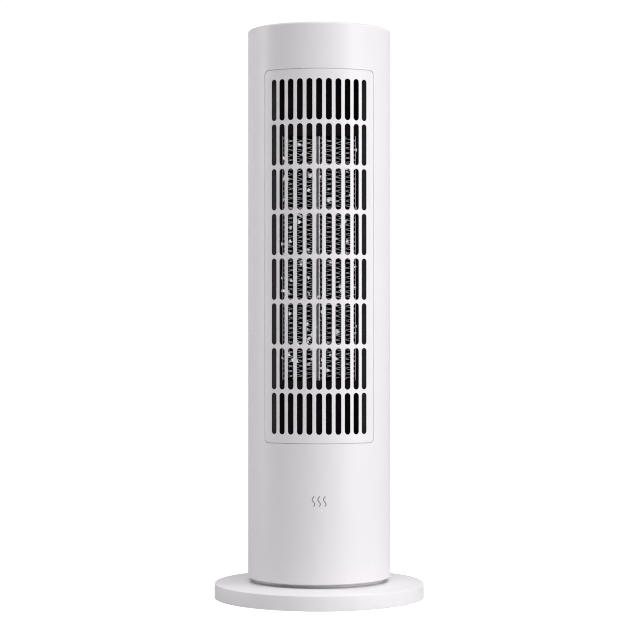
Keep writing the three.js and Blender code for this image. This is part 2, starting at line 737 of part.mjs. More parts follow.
function blowerPlate([low, high], hole) {
  const plate = overlap(
    rod(58.5, low, high, { segments: 32 }),
    box([-44, -18, low - 1], [44, 58, high + 1]),
  );
  return cut(plate, rod(hole, low - 5, high + 5, { y: FAN_Y, segments: 20 }));
}

function fanWheel() {
  const discs = [
    tube(SHAFT_R + GAP, FAN_R, FAN_BOTTOM, FAN_BOTTOM + 1.6, { segments: 20 }),
    tube(20.5, FAN_R, 309, 310.5, { segments: 20 }),
    tube(SHAFT_R + GAP, FAN_R, FAN_TOP - 1.6, FAN_TOP, { segments: 20 }),
    tube(SHAFT_R + GAP, 8, FAN_BOTTOM, FAN_BOTTOM + 12, { segments: 12 }),
  ];
  const blades = Array.from({ length: FAN_BLADES }, (_, i) => {
    const blade = box([-0.6, -3.6, FAN_BOTTOM + 0.8], [0.6, 3.6, FAN_TOP - 0.8]);
    return blade.rotateZ(radians(28)).translate(0, 24, 0).rotateZ((i * 2 * Math.PI) / FAN_BLADES);
  });
  return join(...discs, ...blades).translate([0, FAN_Y, 0]);
}

function fanMotor() {
  return turned(
    [
      [SHAFT_R + 0.4, 144],
      [11, 144],
      [11, 150],
      [24, 150],
      [26, 152],
      [26, 176],
      [24, 178],
      [12, 178],
      [12, BLOWER_FLOOR[0] - GAP],
      [SHAFT_R + 0.4, BLOWER_FLOOR[0] - GAP],
    ],
    { y: FAN_Y, segments: 24 },
  );
}

add("fan_scroll", scroll(), blackPlastic);
add("fan_tongue", tongue(), blackPlastic);
add("blower_floor", blowerPlate(BLOWER_FLOOR, 6), blackPlastic);
add("blower_ceiling", blowerPlate(BLOWER_CEILING, 8), blackPlastic);
add("fan_motor", fanMotor(), motorCase);
add("rotor_bearing", tube(SHAFT_R + GAP, 7.7, 433.5, 441, { y: FAN_Y, segments: 16 }), rubber);
add("fan_wheel", fanWheel(), greyFan);
add("fan_shaft", rod(SHAFT_R, 140, 440, { y: FAN_Y, segments: 12 }), steel);

// ---------------------------------------------------------------- power electronics
const POWER_BOARD_Y = 40;
add("power_board", box([-36, POWER_BOARD_Y, 27.9], [36, POWER_BOARD_Y + 1.6, 140]), circuitBoard);
add("relay", box([-28, POWER_BOARD_Y - 16, 84], [-9, POWER_BOARD_Y - GAP, 112]), relayCase);
add(
  "capacitor",
  rodAlongY(9, POWER_BOARD_Y - 22, POWER_BOARD_Y - GAP, { x: 16, z: 100, segments: 16 }),
  relayCase,
);

export default heater;
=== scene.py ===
"""Tower fan convector heater: the finished look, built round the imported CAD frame.

Helpers take millimetres, as the CAD does, and make() turns them into metres.
"""

import json
import math
import random

import bmesh
import bpy
import numpy as np
from mathutils import Matrix, Vector, geometry


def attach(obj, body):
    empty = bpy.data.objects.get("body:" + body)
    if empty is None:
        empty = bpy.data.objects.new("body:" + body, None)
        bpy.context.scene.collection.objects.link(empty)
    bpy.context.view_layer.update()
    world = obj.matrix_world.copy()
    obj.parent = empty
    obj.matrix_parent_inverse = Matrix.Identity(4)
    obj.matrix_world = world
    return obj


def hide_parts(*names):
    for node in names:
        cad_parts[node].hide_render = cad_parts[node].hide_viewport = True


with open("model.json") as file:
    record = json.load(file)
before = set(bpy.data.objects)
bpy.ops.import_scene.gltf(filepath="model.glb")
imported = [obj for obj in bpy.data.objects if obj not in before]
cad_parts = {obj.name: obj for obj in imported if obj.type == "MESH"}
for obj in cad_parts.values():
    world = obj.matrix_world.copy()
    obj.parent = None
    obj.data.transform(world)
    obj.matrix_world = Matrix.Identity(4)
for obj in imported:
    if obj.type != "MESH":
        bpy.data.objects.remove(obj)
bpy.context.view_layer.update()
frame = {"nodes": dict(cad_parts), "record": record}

MM = 0.001
TAU = 2 * math.pi

# Sizes in mm. They are the CAD's, but where a comment says how they differ.
TOWER_R = 65.25
TOWER_BOTTOM = 18.9
TOWER_TOP = 519.0
SEAM_DEG = 93.75
BASE_R = 96.0
BASE_BOTTOM = 0.3
BASE_RIM_TOP = 13.8
BASE_CROWN = 15.9  # 0.4 above the CAD's
NECK_R = 59.0
NECK_TOP = 23.0
OUTLET_SLOTS = {
    "columns": 11,
    "rows": 8,
    "pitch_deg": 7.6,
    "width": 5.35,
    "length": 37.0,
    "first": 152.4,
    "row_pitch": 39.93,
}
DRAW_DRAFT = 0.05  # a moulded slot is this much wider each side at the back
GRILLE_HALF_WIDTH = 48.4
GRILLE_BOTTOM = 144.7
GRILLE_TOP = 477.3
GRILLE_CORNER_R = 3.8
GROOVE = 0.5
INLET_HALF_WIDTH = 38.5
INLET_BOTTOM = 150.0
INLET_TOP = 470.0
INLET_SLOTS = {
    "columns": 9,
    "rows": 3,
    "pitch_deg": 7.5,
    "width": 4.0,
    "length": 99.0,
    "first": INLET_BOTTOM + 5.7,
    "row_pitch": 104.8,
}
CAP_R = 60.6
CAP_TOP = 518.6
FAN_Y = 22.0
FAN_R = 27.7
BUTTON_Y = -14.0
HEATER_Z = (200.0, 419.6)
HEATER_Y = (-38.5, -23.5)
FIN_PITCH = 4.31  # the CAD has half as many folds
FIN_SHEET = 0.26  # the CAD's sheet is thicker
FIN_BEAD = 0.42  # the rolled front edge
SCREW_X = 48.0
SCREW_HEIGHTS = (125.0, 492.0)
GLAND_Z = 40.0
HANDLE = (36.0, 480.0, 504.0)  # half width, lowest and highest point


# ---------------------------------------------------------------- camera, lights and floor
CAMERA_LENS = 113.3
CAMERA_PLACE = (0.0008, -1.85, 0.2543)
LIGHTS_AIM = (0, 0, 0.25)
AMBIENT = 0.01  # what the room gives as light
IN_REFLECTIONS = 0.78  # how bright it looks in a gloss
IN_VIEW = 1.02  # how bright it looks to the camera
FLOOR_GLOW = 0.95
FLOOR_SIZE = 40.0


def add_object(name, data):
    thing = bpy.data.objects.new(name, data)
    bpy.context.collection.objects.link(thing)
    return thing


def make_camera():
    """Level with the heater's middle, as the photograph was taken."""
    camera = add_object("camera", bpy.data.cameras.new("camera"))
    camera.data.sensor_width = 36.0
    camera.data.lens = CAMERA_LENS
    camera.location = CAMERA_PLACE
    camera.rotation_euler = (math.radians(90), 0, 0)
    bpy.context.scene.camera = camera


def softbox(name, azimuth, distance, height, size, power):
    """An area light aimed at the heater's middle; azimuth 0 is the camera's side and 90 its right."""
    light = add_object(name, bpy.data.lights.new(name, "AREA"))
    light.data.shape = "RECTANGLE"
    light.data.size, light.data.size_y = size
    light.data.energy = power
    turn = math.radians(azimuth)
    place = Vector((distance * math.sin(turn), -distance * math.cos(turn), height))
    light.location = place
    light.rotation_euler = (Vector(LIGHTS_AIM) - place).to_track_quat("-Z", "Y").to_euler()


def skylight(name, tilt, lean, spread, strength):
    """Soft light from above, tilted towards the camera's side and leaning to the heater's right."""
    light = add_object(name, bpy.data.lights.new(name, "SUN"))
    light.data.energy = strength
    light.data.angle = math.radians(spread)
    light.rotation_euler = (math.radians(tilt), math.radians(lean), 0)


def make_lights():
    softbox("key", 55, 1.7, 0.42, (0.7, 1.5), 18.7)
    softbox("fill", -98, 1.7, 0.42, (0.45, 1.5), 11.8)
    skylight("overhead", 20, 0, 60, 1.6)
    skylight("overhead_right", 15, 30, 50, 0.98)


def make_world():
    """A room that looks white, also in reflections, but hardly gives light."""
    world = bpy.data.worlds.new("studio")
    bpy.context.scene.world = world
    world.use_nodes = True
    tree = world.node_tree
    room = tree.nodes["Background"]
    room.inputs["Color"].default_value = (1, 1, 1, 1)
    ray = tree.nodes.new("ShaderNodeLightPath")
    level = AMBIENT
    for output, strength in (("Is Glossy Ray", IN_REFLECTIONS), ("Is Camera Ray", IN_VIEW)):
        step = tree.nodes.new("ShaderNodeMix")
        tree.links.new(ray.outputs[output], step.inputs["Factor"])
        if isinstance(level, float):
            step.inputs["A"].default_value = level
        else:
            tree.links.new(level, step.inputs["A"])
        step.inputs["B"].default_value = strength
        level = step.outputs["Result"]
    tree.links.new(level, room.inputs["Strength"])


# ---------------------------------------------------------------- materials
class Nodes:
    """A short way to write a material's nodes."""

    def __init__(self, name):
        self.material = bpy.data.materials.new(name)
        self.material.use_nodes = True
        self.tree = self.material.node_tree
        self.place = self.add("ShaderNodeTexCoord", "Object")

    def feed(self, node, inputs):
        """Gives a node's inputs, by name, a value each or another node's output."""
        for key, value in inputs.items():
            socket = node.inputs[key.replace("_", " ")]
            if isinstance(value, bpy.types.NodeSocket):
                self.tree.links.new(value, socket)
            else:
                socket.default_value = value

    def add(self, kind, output, settings=None, **inputs):
        """One of the outputs of a new node."""
        node = self.tree.nodes.new(kind)
        for key, value in (settings or {}).items():
            setattr(node, key, value)
        self.feed(node, inputs)
        return node.outputs[output]

    def noise(self, size_mm, detail=3.0, roughness=0.5, stretch=(1, 1, 1)):
        """Noise whose features are about size_mm across, from 0 to 1."""
        place = self.add("ShaderNodeMapping", "Vector", Vector=self.place, Scale=stretch)
        return self.add(
            "ShaderNodeTexNoise", "Fac",
            Vector=place, Scale=1000.0 / size_mm, Detail=detail, Roughness=roughness,
        )

    def span(self, value, low, high, from_low=0.3, from_high=0.7):
        """A number between low and high, following value."""
        return self.add(
            "ShaderNodeMapRange", "Result",
            Value=value, From_Min=from_low, From_Max=from_high, To_Min=low, To_Max=high,
        )

    def blend(self, factor, first, second):
        """A colour between two."""
        a, b = ((*c, 1) if isinstance(c, tuple) else c for c in (first, second))
        return self.add("ShaderNodeMix", "Result", {"data_type": "RGBA"}, Factor=factor, A=a, B=b)

    def bump(self, height, depth_mm, strength=1.0, under=None):
        """Relief depth_mm deep, on top of another bump where under gives one."""
        inputs = {} if under is None else {"Normal": under}
        return self.add(
            "ShaderNodeBump", "Normal",
            Height=height, Distance=depth_mm * MM, Strength=strength, **inputs,
        )

    def set(self, **inputs):
        """Feeds the material's shader, and gives the finished material."""
        self.feed(self.tree.nodes["Principled BSDF"], inputs)
        return self.material


def scaled(colour, factor):
    return tuple(min(1.0, c * factor) for c in colour)


def moulded(
    name, colour, roughness, grain=0.35, depth=0.012, mottle=0.02, shine=0.4, subsurface=0.0
):
    """Moulded plastic: spark-eroded grain, faint flow marks, and a gloss nowhere quite even."""
    n = Nodes(name)
    flow = n.span(n.noise(45, 2, 0.5, (1, 1, 0.35)), 0.0, 1.0)
    cloud = n.blend(flow, scaled(colour, 1 - mottle), scaled(colour, 1 + mottle))
    speck = n.span(n.noise(0.8, 2), 0.0, 1.0, 0.62, 0.72)
    tint = n.blend(speck, cloud, scaled(colour, 1 - 2.5 * mottle))
    wear = n.span(n.noise(14, 4, 0.6), roughness - 0.035, roughness + 0.045)
    waves = n.bump(n.noise(30, 1), 0.05, 0.35)
    grain_normal = n.bump(n.noise(grain, 2, 0.6), depth, 0.6, under=waves)
    return n.set(
        Base_Color=tint,
        Roughness=wear,
        Normal=grain_normal,
        Specular_IOR_Level=shine,
        Subsurface_Weight=subsurface,
        Subsurface_Scale=0.002,
        IOR=1.49,
    )


def rolled_aluminium(name, colour, roughness, stretch):
    """Mill-finish sheet with drawn lines, small creases, a little heat tint and patches of rougher gloss.
    """
    n = Nodes(name)
    lines = n.noise(1.6, 4, 0.7, stretch)
    creases = n.noise(4, 3, 0.6)
    tone = n.blend(n.span(creases, 0, 1), scaled(colour, 0.8), scaled(colour, 1.08))
    heat = n.blend(n.span(n.noise(22, 2), 0, 0.25, 0.5, 0.75), tone, scaled(colour, 0.7))
    gloss = n.span(lines, roughness - 0.1, roughness + 0.16)
    return n.set(
        Base_Color=heat,
        Metallic=0.8,
        Roughness=gloss,
        Normal=n.bump(lines, 0.04, 0.5, under=n.bump(creases, 0.9, 0.6)),
        Anisotropic=0.2,
    )


def fin_sheet(name, colour, painted_shade_colour, full_shade_depth, fade=0.7, roughness=0.14):
    """Thin fin sheet: bare along its cut front edge, and darker behind it as painted shade, for the shade
    deep in the channels between the folds.
    """
    n = Nodes(name)
    y = n.add("ShaderNodeSeparateXYZ", "Y", Vector=n.place)
    front = HEATER_Y[0] * MM
    # painted shade: the colour goes from the sheet's own tone at the front edge to the dark shade colour
    # further back
    behind = n.span(y, 0, 1, front + 0.4 * MM, front + full_shade_depth * MM)
    creases = n.noise(3, 3, 0.6)
    tone = n.blend(n.span(creases, 0, 1), scaled(colour, fade), colour)
    return n.set(
        Base_Color=n.blend(behind, tone, painted_shade_colour),
        Metallic=0.9,
        Roughness=n.span(n.noise(1.2, 3), 0.6 * roughness, 1.4 * roughness),
        Normal=n.bump(creases, 0.08, 0.5),
    )


def plated_steel(name, colour, roughness):
    """Zinc-plated steel: bright, with crystal patches and handling marks."""
    n = Nodes(name)
    crystals = n.add("ShaderNodeTexVoronoi", "Distance", Vector=n.place, Scale=900.0)
    tone = n.blend(crystals, scaled(colour, 0.8), scaled(colour, 1.2))
    marks = n.noise(2.2, 5, 0.7)
    return n.set(
        Base_Color=tone,
        Metallic=1.0,
        Roughness=n.span(marks, roughness - 0.1, roughness + 0.15),
        Normal=n.bump(marks, 0.02, 0.5),
    )


def moulded_rubber(name, colour):
    """Matt rubber with a bloom of dust."""
    n = Nodes(name)
    dust = n.span(n.noise(5, 5, 0.7), 0, 1, 0.45, 0.75)
    tone = n.blend(dust, colour, scaled(colour, 1.7))
    return n.set(
        Base_Color=tone,
        Roughness=n.span(n.noise(1.2, 3), 0.72, 0.92),
        Normal=n.bump(n.noise(0.5, 3, 0.6), 0.05, 0.7),
    )


def smoked_lens(name):
    """Polished dark plastic with hair-fine scratches."""
    n = Nodes(name)
    scratches = n.noise(0.5, 3, 0.6, (1, 14, 1))
    depth = n.blend(n.span(n.noise(20, 2), 0, 1), (0.006, 0.006, 0.008), (0.014, 0.014, 0.017))
    return n.set(
        Base_Color=depth,
        Roughness=n.span(scratches, 0.04, 0.12),
        Normal=n.bump(scratches, 0.002, 0.5),
        Coat_Weight=0.6,
        Coat_Roughness=0.03,
    )


def solder_resist(name):
    """Green board with its copper tracks showing as raised lines."""
    n = Nodes(name)
    tracks = n.add(
        "ShaderNodeTexBrick", "Color",
        Vector=n.place, Scale=160.0, Mortar_Size=0.03,
        Color1=(0.012, 0.10, 0.05, 1), Color2=(0.016, 0.13, 0.06, 1), Mortar=(0.03, 0.2, 0.09, 1),
    )
    return n.set(
        Base_Color=tracks,
        Roughness=n.span(n.noise(4, 3), 0.3, 0.45),
        Normal=n.bump(tracks.node.outputs["Fac"], 0.05, 0.6),
        Coat_Weight=0.4,
    )


def cast_iron(name):
    """Raw casting: gritty, with patches of rust."""
    n = Nodes(name)
    grit = n.noise(1.1, 6, 0.75)
    patches = n.span(n.noise(9, 4), 0, 0.5, 0.55, 0.8)
    rust = n.blend(patches, (0.05, 0.05, 0.055), (0.13, 0.06, 0.03))
    return n.set(
        Base_Color=rust,
        Metallic=0.7,
        Roughness=n.span(grit, 0.5, 0.8),
        Normal=n.bump(grit, 0.2, 0.8),
    )


WHITE = (0.800, 0.776, 0.802)
MATERIALS = {
    "tower_white": moulded("tower_white", WHITE, 0.38, mottle=0.012, shine=0.32),
    "button_white": moulded("button_white", scaled(WHITE, 0.98), 0.42, grain=0.3),
    "base_white": moulded(
        "base_white", scaled(WHITE, 1.01), 0.34, grain=0.5, depth=0.004, mottle=0.006, shine=0.36
    ),
    "black_plastic": moulded("black_plastic", (0.018, 0.0145, 0.0175), 0.5, grain=0.5, mottle=0.12),
    "aluminium": rolled_aluminium("aluminium", (0.90, 0.90, 0.92), 0.24, (1, 1, 6)),
    # rougher, and darker as painted shade: a copy of the aluminium for metal that lies in shade
    "dull_aluminium_painted_shade": rolled_aluminium("dull_aluminium_painted_shade", (0.42, 0.42, 0.43), 0.4, (1, 1, 6)),
    "fin_sheet": fin_sheet("fin_sheet", (0.92, 0.92, 0.94), (0.05, 0.05, 0.055), 1.4),
    "fin_flake": fin_sheet("fin_flake", (0.98, 0.98, 1.0), (0.3, 0.3, 0.3), 9.0, 0.92, 0.05),
    "steel": plated_steel("steel", (0.52, 0.52, 0.54), 0.32),
    "nylon": moulded("nylon", (0.70, 0.68, 0.62), 0.4, mottle=0.03, subsurface=0.15),
    "motor_case": plated_steel("motor_case", (0.36, 0.37, 0.39), 0.38),
    # painted shade: a darker, less shiny copy of black_plastic for the parts deep inside the tower that
    # lie in shade
    "black_painted_shade": moulded("black_painted_shade", (0.0085, 0.0055, 0.0075), 0.6, grain=0.5, mottle=0.12, shine=0.12),
    "grey_rubber": moulded_rubber("grey_rubber", (0.05, 0.05, 0.053)),
    "dark_lens": smoked_lens("dark_lens"),
    "ballast": cast_iron("ballast"),
    "fan_grey": moulded("fan_grey", (0.06, 0.06, 0.064), 0.42, grain=0.6, mottle=0.08),
    "circuit_board": solder_resist("circuit_board"),
    "component_blue": moulded("component_blue", (0.02, 0.04, 0.10), 0.3, mottle=0.06),
    "print_grey": moulded("print_grey", (0.23, 0.23, 0.24), 0.5, grain=0.2, depth=0.004, mottle=0.05),
    "net_black": moulded("net_black", (0.03, 0.03, 0.032), 0.65, grain=0.2, mottle=0.1),
}


# ---------------------------------------------------------------- mesh helpers
def mesh_in_mm(name, verts, faces, tidied=True):
    """A mesh from points in mm. Tidied, points that meet are one, and every face looks out."""
    mesh = bpy.data.meshes.new(name)
    mesh.from_pydata([tuple(c * MM for c in v) for v in verts], [], faces)
    if tidied:
        work = bmesh.new()
        work.from_mesh(mesh)
        bmesh.ops.remove_doubles(work, verts=work.verts, dist=1e-7)
        bmesh.ops.recalc_face_normals(work, faces=work.faces)
        work.to_mesh(mesh)
        work.free()
    return mesh


def make(
    name, verts, faces, slot, body, replaces=(), corner_normals=None, sharp_deg=32, finish=None
):
    """A piece from points in mm, with its material, its body and the CAD nodes it stands for."""
    mesh = mesh_in_mm(name, verts, faces, tidied=corner_normals is None)
    mesh.polygons.foreach_set("use_smooth", [True] * len(mesh.polygons))
    if corner_normals is None:
        mesh.set_sharp_from_angle(angle=math.radians(sharp_deg))
    else:
        mesh.normals_split_custom_set([tuple(n) for n in corner_normals])
    mesh.materials.append(MATERIALS[finish or slot])
    piece = add_object(name, mesh)
    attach(piece, body)
    if replaces:
        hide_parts(*replaces)
    return piece


def fillet(corners, steps=5):
    """A line of (x, y) or (x, y, radius) corners, the latter rounded. Its ends stay as they are."""
    points = []
    for i, corner in enumerate(corners):
        radius = corner[2] if len(corner) > 2 else 0
        here = Vector(corner[:2])
        if radius == 0 or i in (0, len(corners) - 1):
            points.append(tuple(here))
            continue
        back = (Vector(corners[i - 1][:2]) - here).normalized()
        ahead = (Vector(corners[i + 1][:2]) - here).normalized()
        half = back.angle(ahead) / 2
        reach = radius / math.tan(half)
        centre = here + (back + ahead).normalized() * radius / math.sin(half)
        start = here + back * reach - centre
        end = here + ahead * reach - centre
        sweep = start.angle_signed(end)
        for k in range(steps + 1):
            turn = -sweep * k / steps
            c, s = math.cos(turn), math.sin(turn)
            points.append((centre.x + start.x * c - start.y * s, centre.y + start.x * s + start.y * c))
    return points


def fillet_normals(corners, steps=5):
    """The true normal at each point that fillet() gives, on the right of the line's direction."""
    straight = [
        Vector((second[1] - first[1], first[0] - second[0])).normalized()
        for first, second in zip(corners, corners[1:])
    ]
    normals = []
    for i, corner in enumerate(corners):
        before, after = straight[max(i - 1, 0)], straight[min(i, len(straight) - 1)]
        rounded = len(corner) > 2 and corner[2] > 0 and 0 < i < len(corners) - 1
        if rounded:
            normals += [before.slerp(after, k / steps) for k in range(steps + 1)]
        else:
            normals.append(before if i else after)
    return normals


def polar(r, angle, x=0.0, y=0.0):
    """The point r away from (x, y) at an angle in radians."""
    return x + r * math.cos(angle), y + r * math.sin(angle)


def lathe(profile, segments=96, closed=False, place=None):
    """(points, faces) of a profile of (radius, height) points turned about Z, then moved by place."""
    rings, verts, faces = [], [], []
    for r, z in profile:
        if r < 1e-6:
            rings.append([len(verts)])
            verts.append(Vector((0, 0, z)))
        else:
            rings.append(range(len(verts), len(verts) + segments))
            verts += [Vector((*polar(r, TAU * k / segments), z)) for k in range(segments)]
    pairs = list(zip(rings, rings[1:]))
    if closed:
        pairs.append((rings[-1], rings[0]))
    for low, high in pairs:
        for k in range(segments):
            corners = [
                low[k % len(low)],
                low[(k + 1) % len(low)],
                high[(k + 1) % len(high)],
                high[k % len(high)],
            ]
            face = list(dict.fromkeys(corners))
            if len(face) > 2:
                faces.append(face)
    if place is not None:
        verts = [place @ v for v in verts]
    return verts, faces


def joined(*shapes):
    """Several (points, faces) as one."""
    verts, faces = [], []
    for v, f in shapes:
        start = len(verts)
        verts += list(v)
        faces += [[i + start for i in face] for face in f]
    return verts, faces


def towards_back(x, z):
    """Where Z runs straight back from a point of the tower's middle plane."""
    return Matrix.Translation((x, 0, z)) @ Matrix.Rotation(math.radians(-90), 4, "X")


def lofted(rings):
    """Closed rings with as many points each, joined in order and closed at both ends."""
    count = len(rings[0])
    faces = []
    for a in range(0, (len(rings) - 1) * count, count):
        b = a + count
        faces += [[a + i, a + (i + 1) % count, b + (i + 1) % count, b + i] for i in range(count)]
    last = (len(rings) - 1) * count
    faces += [list(range(count)), list(range(last, last + count))[::-1]]
    return [point for ring in rings for point in ring], faces


def sideways(points, i):
    """The direction across a line of (x, y) points at point i, to its left."""
    (x0, y0), (x1, y1) = points[max(i - 1, 0)], points[min(i + 1, len(points) - 1)]
    return Vector((y0 - y1, x1 - x0)).normalized()


def thickened(points, thickness):
    """A closed outline round a line of points."""
    sides = ([], [])
    for i, (x, y) in enumerate(points):
        across = sideways(points, i) * thickness / 2
        sides[0].append((x - across.x, y - across.y))
        sides[1].append((x + across.x, y + across.y))
    return sides[0] + sides[1][::-1]


def prism(outline, low, high, place=None):
    """An outline of (x, y) points raised from low to high."""
    n = len(outline)
    verts = [Vector((x, y, low)) for x, y in outline] + [Vector((x, y, high)) for x, y in outline]
    faces = [[i, (i + 1) % n, (i + 1) % n + n, i + n] for i in range(n)]
    faces += [list(range(n))[::-1], list(range(n, 2 * n))]
    if place is not None:
        verts = [place @ v for v in verts]
    return verts, faces


def rounded_rect(half_width, low, high, r, arc=6, step_x=3.0, step_y=12.0):
    """A closed anticlockwise outline, with points along its straight sides too."""
    centres = [
        (half_width - r, high - r, 0),
        (-half_width + r, high - r, 1),
        (-half_width + r, low + r, 2),
        (half_width - r, low + r, 3),
    ]
    points = []
    for x, y, quarter in centres:
        points += [polar(r, (quarter + k / arc) * math.pi / 2, x, y) for k in range(arc + 1)]
    result = []
    for (x0, y0), (x1, y1) in zip(points, points[1:] + points[:1]):
        count = max(1, round(max(abs(x1 - x0) / step_x, abs(y1 - y0) / step_y)))
        result += [(x0 + (x1 - x0) * k / count, y0 + (y1 - y0) * k / count) for k in range(count)]
    return result


def slot_outline(x, width, low, high, arc=8):
    """An upright slot with round ends."""
    r = width / 2
    bow = [polar(r, math.pi * k / arc) for k in range(arc + 1)]
    return [(x + a, high - r + b) for a, b in bow] + [(x - a, low + r - b) for a, b in bow]


def rectangle(half_x, half_y):
    return [(-half_x, -half_y), (half_x, -half_y), (half_x, half_y), (-half_x, half_y)]


def circle(x, y, r, count=32):
    return [polar(r, TAU * k / count, x, y) for k in range(count)]


# ---------------------------------------------------------------- skins and plates
class TowerSkin:
    """The tower's skin: u runs round it in mm from its middle line, v up its profile."""

    def __init__(self, profile, facing_deg=0.0):
        self.points = fillet(profile, 6)
        self.normals = fillet_normals(profile, 6)
        self.rows = [0.0]
        for (r0, z0), (r1, z1) in zip(self.points, self.points[1:]):
            self.rows.append(self.rows[-1] + math.hypot(r1 - r0, z1 - z0))
        self.facing = math.radians(facing_deg)

    def v_at(self, z):
        """How far up the profile height z is, on the upright part."""
        upright = next(i for i, n in enumerate(self.normals) if n.x > 0.99999)
        return self.rows[upright] + z - self.points[upright][1]

    def frame(self, u, v):
        i = int(np.clip(np.searchsorted(self.rows, v) - 1, 0, len(self.rows) - 2))
        t = (v - self.rows[i]) / max(self.rows[i + 1] - self.rows[i], 1e-9)
        r = self.points[i][0] * (1 - t) + self.points[i + 1][0] * t
        z = self.points[i][1] * (1 - t) + self.points[i + 1][1] * t
        n = (self.normals[i] * (1 - t) + self.normals[i + 1] * t).normalized()
        a = u / TOWER_R + self.facing
        out = Vector((math.sin(a), -math.cos(a), 0))
        along = Vector((math.cos(a), math.sin(a), 0))
        up = Vector((0, 0, 1))
        return out * r + up * z, out * n.x + up * n.y, along, out * -n.y + up * n.x


class FlatSkin:
    """A flat face: u and v run along two directions from an origin."""

    def __init__(self, origin, along, up):
        self.origin, self.along, self.up = Vector(origin), Vector(along), Vector(up)
        self.normal = self.along.cross(self.up)

    def frame(self, u, v):
        return self.origin + self.along * u + self.up * v, self.normal, self.along, self.up


def oriented(loop, anticlockwise):
    area = sum(x0 * y1 - x1 * y0 for (x0, y0), (x1, y1) in zip(loop, loop[1:] + loop[:1]))
    return loop if (area > 0) == anticlockwise else loop[::-1]


def outward(loop):
    """At each point of a loop, (x, y, k): the unit normal away from the material, and its mitre."""
    normals = []
    for i, (x1, y1) in enumerate(loop):
        x0, y0 = loop[i - 1]
        x2, y2 = loop[(i + 1) % len(loop)]
        first = Vector((y1 - y0, x0 - x1)).normalized()
        second = Vector((y2 - y1, x1 - x2)).normalized()
        middle = (first + second).normalized()
        normals.append((middle.x, middle.y, 1 / max(0.5, middle.dot(first))))
    return normals


def grid_inside(loops, step_u, rows, clear):
    """Points of a grid in the material, at least clear away from every loop. Loops are convex."""
    us = [p[0] for p in loops[0]]
    columns = np.arange(min(us) + step_u, max(us), step_u)
    grid = np.array([(u, v) for v in rows for u in columns])
    keep = np.ones(len(grid), bool)
    for loop in loops:
        a = np.array(loop)
        b = np.roll(a, -1, axis=0)
        side = b - a
        to = grid[:, None, :] - a[None]
        t = np.clip((to * side).sum(2) / np.maximum((side * side).sum(1), 1e-12), 0, 1)
        gap = np.linalg.norm(to - t[..., None] * side, axis=2).min(1)
        cross = side[:, 0] * to[..., 1] - side[:, 1] * to[..., 0]
        inside = (cross > 0).all(1) | (cross < 0).all(1)
        keep &= (gap > clear) & (inside if loop is loops[0] else ~inside)
    return [tuple(p) for p in grid[keep]]


